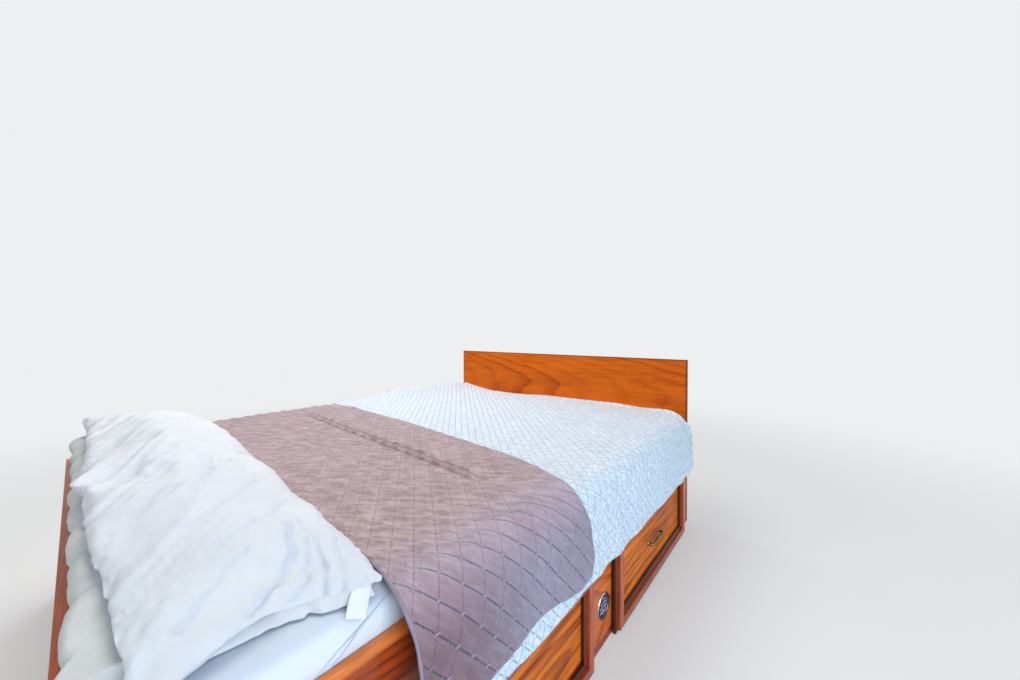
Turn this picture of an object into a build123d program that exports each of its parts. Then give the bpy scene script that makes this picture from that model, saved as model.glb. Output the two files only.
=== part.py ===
# A built-in double bed with two drawers, as fitted across one end of a living wagon.
# Millimetres. +X points from the wall at the bed's back to the drawer fronts, +Y from the head to the
# tall foot panel, +Z up. The origin is on the floor, under the middle of the whole bed.
import os
from collections import namedtuple

from build123d import *

os.makedirs("parts", exist_ok=True)

# Overall sizes
bed_depth = 1600              # from the wall to the outer face of the face frame
bed_length = 1950             # from the head end to the foot panel
front_height = 485            # floor to the top of the face frame
foot_panel_height = 800
foot_panel_thickness = 20
skirt_reach = 60              # how far the throw hangs out in front of the face frame

# Boards
face_thickness = 22
end_thickness = 20
board_thickness = 18
top_round = 8                 # rounded outer edge along the top of the face frame
small_round = 3

# Drawers
drawer_height = 292
head_margin = 179             # from the head end to the near drawer
far_margin = 118              # from the foot panel to the far drawer
drawer_spacing = 153          # face frame that shows between the two drawers
floor_gap = 5                 # under the drawer fronts
front_overlap = 22            # the fronts cover the edges of their openings
front_gap = 5                 # between a closed front and the face frame
member_width = 47             # the front's four moulded members
bead_height = 12
bead_width = 10
bead_round = 4
bead_groove = 1.5
member_thickness = 23
panel_thickness = 12
panel_lap = 12                # the flat panel laps behind the members
drawer_wall = 15
drawer_bottom = 8
bottom_inset = 8              # the bottom sits this far up between the walls
drawer_box_height = 200
drawer_travel = 450
runner_hold = 170             # length still held by the runners when a drawer is fully open
box_floor_clearance = 45
side_space = 14               # room for the runners on each side

# Runners: a rail on the drawer's side slides between a bearer below it and a kicker above it
strip_width = 9
strip_height = 14
runner_gap = 0.4
runner_height = 130
bearer_play = 60              # the bearers run on this far behind a closed drawer

# Bow handles
handle_length = 120           # between the middles of its feet
handle_reach = 26
handle_rod = 6                # radius
handle_drop = 8               # below the middle of the drawer's front
handle_bend = 14
foot_radius = 9
foot_height = 3

# Warm-air vent between the drawers
vent_offset = 22              # from the middle of the space towards the foot
vent_height = 120
vent_hole = 32                # radius
vent_flange_lap = 7           # the flange covers this much round the hole
vent_flange_height = 5
vent_sleeve_wall = 3
vent_clearance = 0.3
vent_rib_width = 4
vent_rib_pitch = 11
vent_rib_count = 3
vent_rib_depth = 12
vent_plate = 3

# Slats and what carries them
bay_depth = 760               # from the face frame back to the board behind the drawers
ledger_width = 30
ledger_height = 30
slat_count = 14
slat_width = 75
slat_thickness = 18
slat_play = 1
wall_hole_radius = 4.5
wall_hole_spread = 1400
wall_hole_rise = 180
wall_hole_low = 120

# Bedding
soft_gap = 0.3
mattress_thickness = 120
mattress_above_frame = 45
mattress_inset = 12           # from the boards around it
mattress_corner = 45
mattress_top_round = 20
coverlet_thickness = 8
throw_thickness = 8
bend_radius = 80              # inside the coverlet, where it turns down
hem_above_drawers = 11
throw_hem_rise = 36
coverlet_near_edge = 450      # from the head end
throw_near_edge = 350
throw_far_edge = 935
duvet_end_gap = 36            # from the duvet's end to the mattress's front edge
duvet_height = 150
duvet_round = 60
fold_width = 270
fold_height = 62
fold_round = 20
head_gap = 12
label_width = 36
label_length = 60
label_thickness = 1.6

# Reference planes
overall_depth = bed_depth + skirt_reach
overall_length = bed_length + foot_panel_thickness
wall_x = -overall_depth / 2
face_x = wall_x + bed_depth
inside_x = face_x - face_thickness
head_y = -overall_length / 2
foot_y = head_y + bed_length
back_inside_x = wall_x + board_thickness
head_inside_y = head_y + end_thickness
bay_back_x = inside_x - bay_depth

# Drawer places: both fronts share what the margins and the space between them leave
drawer_width = (bed_length - head_margin - far_margin - drawer_spacing) / 2
far_drawer_y = foot_y - far_margin - drawer_width / 2
near_drawer_y = far_drawer_y - drawer_width - drawer_spacing
opening_width = drawer_width - 2 * front_overlap
opening_low = floor_gap + front_overlap
opening_top = floor_gap + drawer_height - front_overlap
front_middle_z = floor_gap + drawer_height / 2
near_opening = near_drawer_y - opening_width / 2
near_opening_end = near_drawer_y + opening_width / 2
far_opening = far_drawer_y - opening_width / 2
far_opening_end = far_drawer_y + opening_width / 2
drawer_box_depth = drawer_travel + runner_hold

# Levels
mattress_top = front_height + mattress_above_frame
slat_top = mattress_top - mattress_thickness
slat_low = slat_top - slat_thickness
ledger_low = slat_low - ledger_height


def save(part, name):
    """Label a finished piece and write it."""
    part.label = name
    export_step(part, f"parts/{name}.step")
    print(f"{name:24s} {part.volume / 1e6:9.3f} litres")


# Plain boards
Board = namedtuple("Board", "name x_low x_high y_low y_high z_low z_high")


def board_box(board):
    """Add one square-edged board to the part being built."""
    middle = (
        (board.x_low + board.x_high) / 2,
        (board.y_low + board.y_high) / 2,
        (board.z_low + board.z_high) / 2,
    )
    with Locations(middle):
        Box(board.x_high - board.x_low, board.y_high - board.y_low, board.z_high - board.z_low)


boards = [
    Board("face_bottom_rail", inside_x, face_x, head_y, foot_y, 0, opening_low),
    Board("face_head_stile", inside_x, face_x, head_y, near_opening, opening_low, opening_top),
    Board("face_foot_stile", inside_x, face_x, far_opening_end, foot_y, opening_low, opening_top),
    Board("head_board_low", back_inside_x, inside_x, head_y, head_inside_y, 0, front_height),
    Board("bay_back_board", bay_back_x - board_thickness, bay_back_x, head_inside_y, foot_y, 0, slat_low),
    Board("front_ledger", inside_x - ledger_width, inside_x, head_inside_y, foot_y, ledger_low, slat_low),
    Board(
        "back_ledger", back_inside_x, back_inside_x + ledger_width,
        head_inside_y, foot_y, ledger_low, slat_low,
    ),
]
bay_sides = {
    "near_bay_head_side": near_opening - board_thickness,
    "near_bay_foot_side": near_opening_end,
    "far_bay_head_side": far_opening - board_thickness,
    "far_bay_foot_side": far_opening_end,
}
for name, y_low in bay_sides.items():
    boards.append(Board(name, bay_back_x, inside_x, y_low, y_low + board_thickness, 0, ledger_low))

for row in boards:
    with BuildPart() as board:
        board_box(row)
    save(board.part, row.name)

# The face frame's top rail, with its rounded edges
with BuildPart() as face_top_rail:
    board_box(Board("face_top_rail", inside_x, face_x, head_y, foot_y, opening_top, front_height))
    fillet(face_top_rail.edges().filter_by(Axis.Y).group_by(Axis.Z)[-1].sort_by(Axis.X)[-1], top_round)
    fillet(face_top_rail.edges().filter_by(Axis.Y).group_by(Axis.Z)[-1].sort_by(Axis.X)[0], small_round)
save(face_top_rail.part, "face_top_rail")

# The board between the drawers, with the vent's hole
vent_y = (near_drawer_y + far_drawer_y) / 2 + vent_offset
with BuildPart() as face_vent_board:
    board_box(
        Board("face_vent_board", inside_x, face_x, near_opening_end, far_opening, opening_low, opening_top)
    )
    with BuildSketch(Plane.YZ.offset(face_x)):
        with Locations((vent_y, vent_height)):
            Circle(vent_hole)
    extrude(amount=-face_thickness, mode=Mode.SUBTRACT)
save(face_vent_board.part, "face_vent_board")

# The tall foot panel, its free edges eased
with BuildPart() as foot_panel:
    board_box(
        Board("foot_panel", wall_x, face_x, foot_y, foot_y + foot_panel_thickness, 0, foot_panel_height)
    )
    fillet(foot_panel.edges().filter_by(Axis.X).group_by(Axis.Z)[-1], small_round)
save(foot_panel.part, "foot_panel")

# The board along the wall, with four holes for screws into the wall
with BuildPart() as wall_board:
    board_box(Board("wall_board", wall_x, back_inside_x, head_y, foot_y, 0, front_height))
    with BuildSketch(Plane.YZ.offset(back_inside_x)):
        with Locations(((head_y + foot_y) / 2, wall_hole_low + wall_hole_rise / 2)):
            with GridLocations(wall_hole_spread, wall_hole_rise, 2, 2):
                Circle(wall_hole_radius)
    extrude(amount=-board_thickness, mode=Mode.SUBTRACT)
save(wall_board.part, "wall_board")

# Slats from ledger to ledger, over the board behind the drawers
slat_run = foot_y - head_inside_y
slat_pitch = slat_run / slat_count
slat_span = inside_x - back_inside_x - 2 * slat_play
with BuildPart() as bed_slats:
    with Locations(
        ((inside_x + back_inside_x) / 2, head_inside_y + slat_run / 2, slat_low + slat_thickness / 2)
    ):
        with GridLocations(slat_span, slat_pitch, 1, slat_count):
            Box(slat_span, slat_width, slat_thickness)
save(bed_slats.part, "bed_slats")

# Drawers and the runners that carry them
box_width = opening_width - 2 * side_space
front_x = face_x + front_gap
panel_back_x = front_x - panel_thickness
box_front_x = panel_back_x - drawer_wall
box_back_x = box_front_x - drawer_box_depth
box_low = box_floor_clearance
box_top = box_low + drawer_box_height
bottom_low = box_low + bottom_inset
bottom_top = bottom_low + drawer_bottom
rail_low = runner_height + strip_height + runner_gap
rail_top = rail_low + strip_height
kicker_low = rail_top + runner_gap
bearer_back_x = box_back_x - bearer_play
panel_half_width = drawer_width / 2 - member_width + panel_lap
panel_half_height = drawer_height / 2 - member_width + panel_lap
front_low = floor_gap
front_top = floor_gap + drawer_height

Member = namedtuple("Member", "name corner along inward length")

for name, middle_y in [("near", near_drawer_y), ("far", far_drawer_y)]:
    front_head_y = middle_y - drawer_width / 2
    front_foot_y = middle_y + drawer_width / 2
    # Four mitred members go round the front, each from one corner to the next
    members = [
        Member("bottom", (front_x, front_head_y, front_low), (0, 1, 0), (0, 0, 1), drawer_width),
        Member("foot", (front_x, front_foot_y, front_low), (0, 0, 1), (0, -1, 0), drawer_height),
        Member("top", (front_x, front_foot_y, front_top), (0, -1, 0), (0, 0, -1), drawer_width),
        Member("head", (front_x, front_head_y, front_top), (0, 0, -1), (0, 1, 0), drawer_height),
    ]
    for row in members:
        with BuildPart() as member:
            with BuildSketch(Plane(origin=row.corner, x_dir=row.inward, z_dir=row.along)):
                with BuildLine():
                    FilletPolyline(
                        (0, 0),
                        (0, bead_height),
                        (bead_width, bead_height),
                        (bead_width, member_thickness),
                        (member_width - bead_width, member_thickness),
                        (member_width - bead_width, bead_height),
                        (member_width, bead_height),
                        (member_width, 0),
                        radius=[bead_round, bead_groove, small_round, small_round, bead_groove, bead_round],
                    )
                    Line((member_width, 0), (0, 0))
                make_face()
            extrude(amount=row.length)
            with BuildSketch(Plane(origin=row.corner, x_dir=row.along, z_dir=(1, 0, 0))):
                with BuildLine():
                    Polyline(
                        (0, 0),
                        (row.length, 0),
                        (row.length - member_width, member_width),
                        (member_width, member_width),
                        close=True,
                    )
                make_face()
            extrude(amount=member_thickness, mode=Mode.INTERSECT)
        save(member.part, f"{name}_drawer_frame_{row.name}")

    # The flat panel behind the members, and the box
    head_x = [box_back_x, box_front_x]
    inner_x = [box_back_x + drawer_wall, box_front_x]
    side_low = middle_y - box_width / 2
    side_high = middle_y + box_width / 2
    inner_y = [side_low + drawer_wall, side_high - drawer_wall]
    panel_y = [middle_y - panel_half_width, middle_y + panel_half_width]
    panel_z = [front_middle_z - panel_half_height, front_middle_z + panel_half_height]
    box_z = [box_low, box_top]
    walls = [
        Board("panel", panel_back_x, front_x, *panel_y, *panel_z),
        Board("box_front", box_front_x, panel_back_x, side_low, side_high, *box_z),
        Board("box_back", box_back_x, box_back_x + drawer_wall, *inner_y, *box_z),
        Board("head_side", *head_x, side_low, side_low + drawer_wall, *box_z),
        Board("foot_side", *head_x, side_high - drawer_wall, side_high, *box_z),
        Board("bottom", *inner_x, *inner_y, bottom_low, bottom_top),
    ]
    for row in walls:
        with BuildPart() as wall:
            board_box(row)
        save(wall.part, f"{name}_drawer_{row.name}")

    # One rail on each side of the drawer
    with BuildPart() as drawer_rails:
        board_box(Board("head", *head_x, side_low - strip_width, side_low, rail_low, rail_top))
        board_box(Board("foot", *head_x, side_high, side_high + strip_width, rail_low, rail_top))
    save(drawer_rails.part, f"{name}_drawer_rails")

    # A bearer and a kicker on each side of the bay
    bay_low = middle_y - opening_width / 2
    bay_high = middle_y + opening_width / 2
    with BuildPart() as bay_runners:
        for z_low in (runner_height, kicker_low):
            strip_z = [z_low, z_low + strip_height]
            board_box(Board("head", bearer_back_x, inside_x, bay_low, bay_low + strip_width, *strip_z))
            board_box(Board("foot", bearer_back_x, inside_x, bay_high - strip_width, bay_high, *strip_z))
    save(bay_runners.part, f"{name}_bay_runners")

    # The bow handle: a round rod bent at both ends, on two turned feet
    rod_x = front_x + handle_reach - handle_rod
    rod_start = middle_y - handle_length / 2
    rod_end = middle_y + handle_length / 2
    rod_z = front_middle_z - handle_drop
    with BuildPart() as handle:
        with BuildLine():
            FilletPolyline(
                (front_x, rod_start, rod_z),
                (rod_x, rod_start, rod_z),
                (rod_x, rod_end, rod_z),
                (front_x, rod_end, rod_z),
                radius=handle_bend,
            )
        with BuildSketch(Plane.YZ.offset(front_x)):
            with Locations((rod_start, rod_z)):
                Circle(handle_rod)
        sweep()
        with BuildSketch(Plane.YZ.offset(front_x)):
            with Locations((rod_start, rod_z), (rod_end, rod_z)):
                Circle(foot_radius)
        extrude(amount=foot_height)
    save(handle.part, f"{name}_drawer_handle")

# The vent: a flange on the face frame with a sleeve through the hole, and a ribbed insert in the sleeve
vent_flange = vent_hole + vent_flange_lap
sleeve_outer = vent_hole - vent_clearance
sleeve_inner = sleeve_outer - vent_sleeve_wall
with BuildPart() as vent_ring:
    with BuildSketch(Plane.YZ.offset(face_x)):
        with Locations((vent_y, vent_height)):
            Circle(vent_flange)
            Circle(sleeve_inner, mode=Mode.SUBTRACT)
    extrude(amount=vent_flange_height)
    fillet(vent_ring.edges().group_by(Axis.X)[-1].sort_by(SortBy.RADIUS)[-1], small_round)
    with BuildSketch(Plane.YZ.offset(face_x)):
        with Locations((vent_y, vent_height)):
            Circle(sleeve_outer)
            Circle(sleeve_inner, mode=Mode.SUBTRACT)
    extrude(amount=-face_thickness)
save(vent_ring.part, "vent_ring")

insert_radius = sleeve_inner - vent_clearance
with BuildPart() as vent_insert:
    with BuildSketch(Plane.YZ.offset(face_x - vent_rib_depth)):
        with Locations((vent_y, vent_height)):
            Circle(insert_radius)
    extrude(amount=-vent_plate)
    with BuildSketch(Plane.YZ.offset(face_x - vent_rib_depth)):
        with Locations((vent_y, vent_height)):
            Circle(insert_radius)
            Circle(insert_radius - vent_sleeve_wall, mode=Mode.SUBTRACT)
    extrude(amount=vent_rib_depth)
    with BuildSketch(Plane.YZ.offset(face_x - vent_rib_depth)):
        with Locations((vent_y, vent_height)):
            with GridLocations(1, vent_rib_pitch, 1, vent_rib_count):
                Rectangle(2 * (insert_radius - vent_sleeve_wall), vent_rib_width)
    extrude(amount=vent_rib_depth)
save(vent_insert.part, "vent_insert")

# The mattress, on the slats between the boards
mattress_low_x = back_inside_x + mattress_inset
mattress_high_x = inside_x - mattress_inset
mattress_low_y = head_inside_y + mattress_inset
mattress_high_y = foot_y - mattress_inset
with BuildPart() as mattress:
    board_box(
        Board("", mattress_low_x, mattress_high_x, mattress_low_y, mattress_high_y,
              slat_top + soft_gap, mattress_top)
    )
    fillet(mattress.edges().filter_by(Axis.Z), mattress_corner)
    fillet(mattress.faces().sort_by(Axis.Z)[-1].edges(), mattress_top_round)
save(mattress.part, "mattress")


# The coverlet lies under the throw. Both lie flat and then turn down in front of the face frame about
# the same centre.
throw_radius = bend_radius + coverlet_thickness + soft_gap
bend_x = face_x + skirt_reach - throw_radius - throw_thickness
bend_z = mattress_top + soft_gap - bend_radius
coverlet_hem = floor_gap + drawer_height + hem_above_drawers
throw_hem = coverlet_hem + throw_hem_rise

Cover = namedtuple("Cover", "name radius thickness hem near_edge far_edge")
covers = [
    Cover(
        "coverlet", bend_radius, coverlet_thickness, coverlet_hem,
        head_y + coverlet_near_edge, foot_y - soft_gap,
    ),
    Cover(
        "throw", throw_radius, throw_thickness, throw_hem,
        head_y + throw_near_edge, head_y + throw_far_edge,
    ),
]
for row in covers:
    inner_x = bend_x + row.radius
    outer_x = inner_x + row.thickness
    under = bend_z + row.radius
    over = under + row.thickness
    with BuildPart() as cover:
        with BuildSketch(Plane.XZ.offset(-row.far_edge)):
            with BuildLine():
                Line((mattress_low_x, under), (bend_x, under))
                CenterArc((bend_x, bend_z), row.radius, 90, -90)
                Line((inner_x, bend_z), (inner_x, row.hem))
                Line((inner_x, row.hem), (outer_x, row.hem))
                Line((outer_x, row.hem), (outer_x, bend_z))
                CenterArc((bend_x, bend_z), row.radius + row.thickness, 0, 90)
                Line((bend_x, over), (mattress_low_x, over))
                Line((mattress_low_x, over), (mattress_low_x, under))
            make_face()
        extrude(amount=row.far_edge - row.near_edge)
    save(cover.part, row.name)

# The duvet lies across the head, over a flat fold of its own that reaches nearer to the head end
duvet_low_x = mattress_low_x
duvet_length = mattress_high_x - duvet_end_gap - duvet_low_x
duvet_near_y = head_y + duvet_round / 2
duvet_far_y = head_y + throw_near_edge - soft_gap
fold_near_y = head_y + head_gap
fold_top = mattress_top + soft_gap + fold_height
with BuildPart() as duvet_fold:
    board_box(
        Board("", duvet_low_x, duvet_low_x + duvet_length - duvet_round, fold_near_y,
              fold_near_y + fold_width, mattress_top + soft_gap, fold_top)
    )
    fillet(duvet_fold.edges().filter_by(Axis.Z), fold_round)
    fillet(duvet_fold.faces().sort_by(Axis.Z)[-1].edges(), fold_round)
save(duvet_fold.part, "duvet_fold")

with BuildPart() as duvet:
    with BuildSketch(Plane.YZ.offset(duvet_low_x)):
        with BuildLine():
            Polyline(
                (duvet_near_y, fold_top + soft_gap),
                (fold_near_y + fold_width + soft_gap, fold_top + soft_gap),
                (fold_near_y + fold_width + soft_gap, mattress_top + soft_gap),
                (duvet_far_y, mattress_top + soft_gap),
                (duvet_far_y, mattress_top + fold_height),
                (duvet_near_y + duvet_round, mattress_top + duvet_height),
                (duvet_near_y, mattress_top + duvet_height - duvet_round / 2),
                close=True,
            )
        make_face()
    extrude(amount=duvet_length)
save(duvet.part, "duvet")

# The care label runs from the duvet's end out over the edge of the mattress
label_low_x = duvet_low_x + duvet_length + soft_gap
label_middle_y = duvet_far_y - label_length
with BuildPart() as care_label:
    board_box(
        Board("", label_low_x, label_low_x + label_length, label_middle_y - label_width / 2,
              label_middle_y + label_width / 2, mattress_top + soft_gap,
              mattress_top + soft_gap + label_thickness)
    )
save(care_label.part, "care_label")
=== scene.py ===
# %% [markdown]
# # Looks for a built-in wagon bed
# The bed's boards, drawers and runners come from a fixed CAD frame and keep their shape. This lesson gives
# them their wood, and builds what is soft or finely shaped around them: the sheeted mattress, two quilted
# covers, the duvet, the brass handles and the warm-air vent. Everything is in metres. +X points from the
# wall to the drawer fronts, +Y from the head to the tall foot panel, and +Z up.

# %% Load the frame
import itertools

import bmesh
import bpy
import numpy as np
from mathutils import Matrix, Vector


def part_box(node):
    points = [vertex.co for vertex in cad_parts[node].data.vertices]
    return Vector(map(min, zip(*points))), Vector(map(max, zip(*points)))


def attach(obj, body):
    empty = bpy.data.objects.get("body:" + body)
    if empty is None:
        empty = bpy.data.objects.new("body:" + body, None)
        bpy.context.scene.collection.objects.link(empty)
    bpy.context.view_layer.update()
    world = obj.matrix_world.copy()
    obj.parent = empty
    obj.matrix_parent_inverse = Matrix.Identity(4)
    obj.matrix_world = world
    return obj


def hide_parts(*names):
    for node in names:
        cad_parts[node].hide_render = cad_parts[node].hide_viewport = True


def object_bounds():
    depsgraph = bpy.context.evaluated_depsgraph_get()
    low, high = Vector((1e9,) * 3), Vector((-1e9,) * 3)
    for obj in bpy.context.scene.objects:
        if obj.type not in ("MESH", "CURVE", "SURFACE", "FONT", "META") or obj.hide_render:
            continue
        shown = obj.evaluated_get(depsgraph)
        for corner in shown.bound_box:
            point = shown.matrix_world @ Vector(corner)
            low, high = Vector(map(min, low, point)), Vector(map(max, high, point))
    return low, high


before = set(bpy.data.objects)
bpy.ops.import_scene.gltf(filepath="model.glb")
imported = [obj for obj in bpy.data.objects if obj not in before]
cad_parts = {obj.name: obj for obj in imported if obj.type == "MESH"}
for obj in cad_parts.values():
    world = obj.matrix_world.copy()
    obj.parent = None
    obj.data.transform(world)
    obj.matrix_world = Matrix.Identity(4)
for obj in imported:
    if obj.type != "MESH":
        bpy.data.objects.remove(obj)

cad_low, cad_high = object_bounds()
scene = bpy.context.scene
print("CAD box", [round(v, 3) for v in cad_low], [round(v, 3) for v in cad_high])

# %% [markdown]
# ## Small helpers
# A piece made in code is a list of points and a list of faces. One helper turns them into an object whose
# place is in its mesh. Colours are written as a screen shows them, and turned into what shaders use.

# %% Make a piece from points and faces
def link_object(name, data):
    """A new object in the scene."""
    made = bpy.data.objects.new(name, data)
    scene.collection.objects.link(made)
    return made


def new_piece(name, points, faces, material, cloth_map=None):
    """A smooth-shaded object. cloth_map gives each point its place on the flat cloth, in metres."""
    mesh = bpy.data.meshes.new(name)
    mesh.from_pydata(np.asarray(points, float).reshape(-1, 3).tolist(), [], faces)
    if cloth_map is not None:
        corner_points = np.zeros(len(mesh.loops), int)
        mesh.loops.foreach_get("vertex_index", corner_points)
        flat = np.asarray(cloth_map, np.float32).reshape(-1, 2)[corner_points]
        mesh.uv_layers.new(name="cloth").data.foreach_set("uv", flat.ravel())
    mesh.shade_smooth()
    mesh.materials.append(material)
    return link_object(name, mesh)


def face_outwards(piece):
    """Merge doubled points and turn every face of a closed mesh outwards."""
    work = bmesh.new()
    work.from_mesh(piece.data)
    bmesh.ops.remove_doubles(work, verts=work.verts, dist=1e-6)
    bmesh.ops.recalc_face_normals(work, faces=work.faces)
    work.to_mesh(piece.data)
    work.free()
    return piece


def columns(*parts):
    """Values side by side, such as X, Y and Z, each stretched to the shape of the others."""
    return np.stack(np.broadcast_arrays(*parts), axis=-1)


BORDERS = (np.s_[0], np.s_[-1], np.s_[:, 0], np.s_[:, -1])        # of a grid


def grid_faces(index):
    """Four-sided faces between the numbers of a grid of points."""
    quads = columns(index[:-1, :-1], index[1:, :-1], index[1:, 1:], index[:-1, 1:])
    return quads.reshape(-1, 4).tolist()


def mark_fold(piece, values):
    """Give each point a value of painted shading, from 0 to 1, that the cloth's material reads."""
    layer = piece.data.attributes.new("fold", "FLOAT", "POINT")
    layer.data.foreach_set("value", values.astype(np.float32))


def hand_over(piece, node=None, body="bed"):
    """Hide the CAD node that a piece replaces, if there is one, attach the piece to the body that it rides
    on, and print its face count.
    """
    if node is not None:
        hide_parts(node)
    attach(piece, body)
    print(piece.name, "has", len(piece.data.polygons), "faces")


# %% Numbers and colours
def paint(red, green, blue):
    """A screen colour, 0 to 255, as the linear colour that a shader takes."""
    screen = np.array((red, green, blue)) / 255
    linear = np.where(screen <= 0.04045, screen / 12.92, ((screen + 0.055) / 1.055) ** 2.4)
    return (*linear.tolist(), 1.0)


def smooth_step(value, low, high):
    """0 below low, 1 above high, and a soft rise between them."""
    share = np.clip((value - low) / (high - low), 0, 1)
    return share * share * (3 - 2 * share)


def hill(away, width):
    """1 where away is 0, and a soft fall to both sides."""
    return np.exp(-(away / width) ** 2)


def soft_noise(points, size, seed):
    """Smooth random values from -1 to 1, about size metres from one hill to the next."""
    cells = 48
    count = points.shape[-1]
    lattice = np.random.default_rng(seed).uniform(-1, 1, (cells,) * count)
    scaled = points / np.asarray(size) + cells
    base = np.floor(scaled).astype(int)
    share = scaled - base
    share = share * share * (3 - 2 * share)
    total = 0
    for corner in itertools.product((0, 1), repeat=count):
        weight = np.prod(np.where(corner, share, 1 - share), axis=-1)
        total = total + weight * lattice[tuple((base[..., a] + corner[a]) % cells for a in range(count))]
    return total


def creased_noise(points, size, seed, power=0.8):
    """Noise with sharp crests, from -1 to 1, for folds in cloth."""
    return 1 - 2 * np.abs(soft_noise(points, size, seed)) ** power


# %% [markdown]
# ## Tools for node trees
# Materials, the sky and Geometry Nodes are all trees of nodes. One helper adds a node with its inputs and
# settings. What it puts out is wrapped in a small class, so that each sign, such as plus or times, adds a
# Math node. What several materials share, such as grain or quilting, becomes a node group.

# %% Node helpers
class Value:
    """What a node puts out, on its way to other nodes."""

    def __init__(self, socket):
        self.socket = socket
        self.tree = socket.id_data

    def __getitem__(self, key):
        """Another output of the same node, by number or name."""
        return Value(self.socket.node.outputs[key])

    def math(self, operation, *others):
        return add_node(self.tree, "Math", self, *others, operation=operation)

    def __add__(self, other):
        return self.math("ADD", other)

    def __sub__(self, other):
        return self.math("SUBTRACT", other)

    def __mul__(self, other):
        return self.math("MULTIPLY", other)

    def __truediv__(self, other):
        return self.math("DIVIDE", other)

    def ramp(self, low, high, bottom=0.0, top=1.0):
        """A soft rise from bottom to top while the value goes from low to high."""
        return add_node(self.tree, "MapRange", self, low, high, bottom, top, interpolation_type="SMOOTHSTEP")

    def parts(self):
        """The X, Y and Z of a vector."""
        first = add_node(self.tree, "SeparateXYZ", self)
        return first, first[1], first[2]

    def scaled(self, *factors):
        """A vector with each of its parts multiplied."""
        return add_node(self.tree, "VectorMath", self, factors, operation="MULTIPLY")

    def noise(self, scale, detail=2.0, roughness=0.5):
        """Soft noise from 0 to 1 at a place."""
        return add_node(self.tree, "TexNoise", Vector=self, Scale=scale, Detail=detail, Roughness=roughness)

    def choose(self, first, second):
        """Two numbers mixed by a share from 0 to 1."""
        return add_node(self.tree, "Mix", self, None, first, second)

    def blend(self, *colours, blend_type="MIX"):
        """Two colours mixed by a share from 0 to 1. A colour of three numbers is a screen colour."""
        colours = [paint(*c) if isinstance(c, tuple) and len(c) == 3 else c for c in colours]
        return add_node(self.tree, "Mix", self, *[None] * 5, *colours, data_type="RGBA",
                        blend_type=blend_type)[2]


def feed(node, inputs):
    """Set a node's inputs, by number or name, from plain values or from what other nodes put out."""
    for key, value in inputs.items():
        if isinstance(value, Value):
            value.tree.links.new(value.socket, node.inputs[key])
        elif value is not None:
            node.inputs[key].default_value = value


def add_node(tree, kind, *numbered, **named):
    """Add a node and return its first output. kind leaves out ShaderNode, GeometryNode or FunctionNode. A
    name with a capital letter is an input, and any other is one of the node's own settings."""
    prefixes = ("ShaderNode", "GeometryNode", "FunctionNode", "")
    node = tree.nodes.new(next(prefix + kind for prefix in prefixes if hasattr(bpy.types, prefix + kind)))
    inputs = dict(enumerate(numbered))
    for key, value in named.items():
        if key[0].isupper():
            inputs[key.replace("_", " ")] = value
        else:
            setattr(node, key, value)
    feed(node, inputs)
    return Value(node.outputs[0]) if len(node.outputs) else None


def new_tree(kind, name, inputs, outputs, output_kind="Float"):
    """A node tree with named inputs and outputs. An input has a default number, or the kind of its socket."""
    tree = bpy.data.node_groups.new(name, kind + "NodeTree")
    for label, value in inputs.items():
        socket_kind = value if isinstance(value, str) else type(value).__name__.title()
        socket = tree.interface.new_socket(label, in_out="INPUT", socket_type="NodeSocket" + socket_kind)
        if socket_kind != value:
            socket.default_value = value
    for label in outputs:
        tree.interface.new_socket(label, in_out="OUTPUT", socket_type="NodeSocket" + output_kind)
    return tree, add_node(tree, "NodeGroupInput")


def new_material(name, **constants):
    """A material with a Principled shader whose constants sit on its own sockets."""
    material = bpy.data.materials.new(name)
    material.use_nodes = True
    shader = material.node_tree.nodes["Principled BSDF"]
    feed(shader, {label.replace("_", " "): value for label, value in constants.items()})
    return material, material.node_tree, shader


def object_place(tree):
    """Where a point is in the bed's own frame."""
    return add_node(tree, "TexCoord")["Object"]


def bump(shader, height, strength, distance):
    """Let a height, from 0 to 1, tilt the shading normal."""
    tilted = add_node(height.tree, "Bump", Height=height, Strength=strength, Distance=distance)
    feed(shader, {"Normal": tilted})


# %% [markdown]
# ## Camera, light and stage
# The camera stands where the photographer stood: at eye height by the head end, looking along the bed with
# a very wide lens. Its turn is written as three angles. The light is what a bright room gives: a pale sky
# all round, a soft lamp above, one over the wall and a large cool one in front of the drawers. The floor is
# plain and pale, and it turns into the same tone as the background where the camera looks past the lit part.

# %% Place the camera
camera_place = Vector((1.24306, -0.95255, 0.93710))
sensor_width = 36             # millimetres
camera_lens = 12.779          # millimetres
camera_left = 39.903          # degrees to the left of +Y
camera_down = 1.139
camera_roll = -0.194

camera = link_object("camera", bpy.data.cameras.new("camera"))
camera.data.sensor_width = sensor_width
camera.data.lens = camera_lens
camera.data.clip_start = 0.02
camera.matrix_world = Matrix.Translation(camera_place)
for degrees, axis in ((camera_left, "Z"), (90 - camera_down, "X"), (camera_roll, "Z")):
    camera.matrix_world @= Matrix.Rotation(np.radians(degrees), 4, axis)
scene.camera = camera
print("camera looks along", [round(-v, 3) for v in camera.matrix_world.col[2][:3]])

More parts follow.
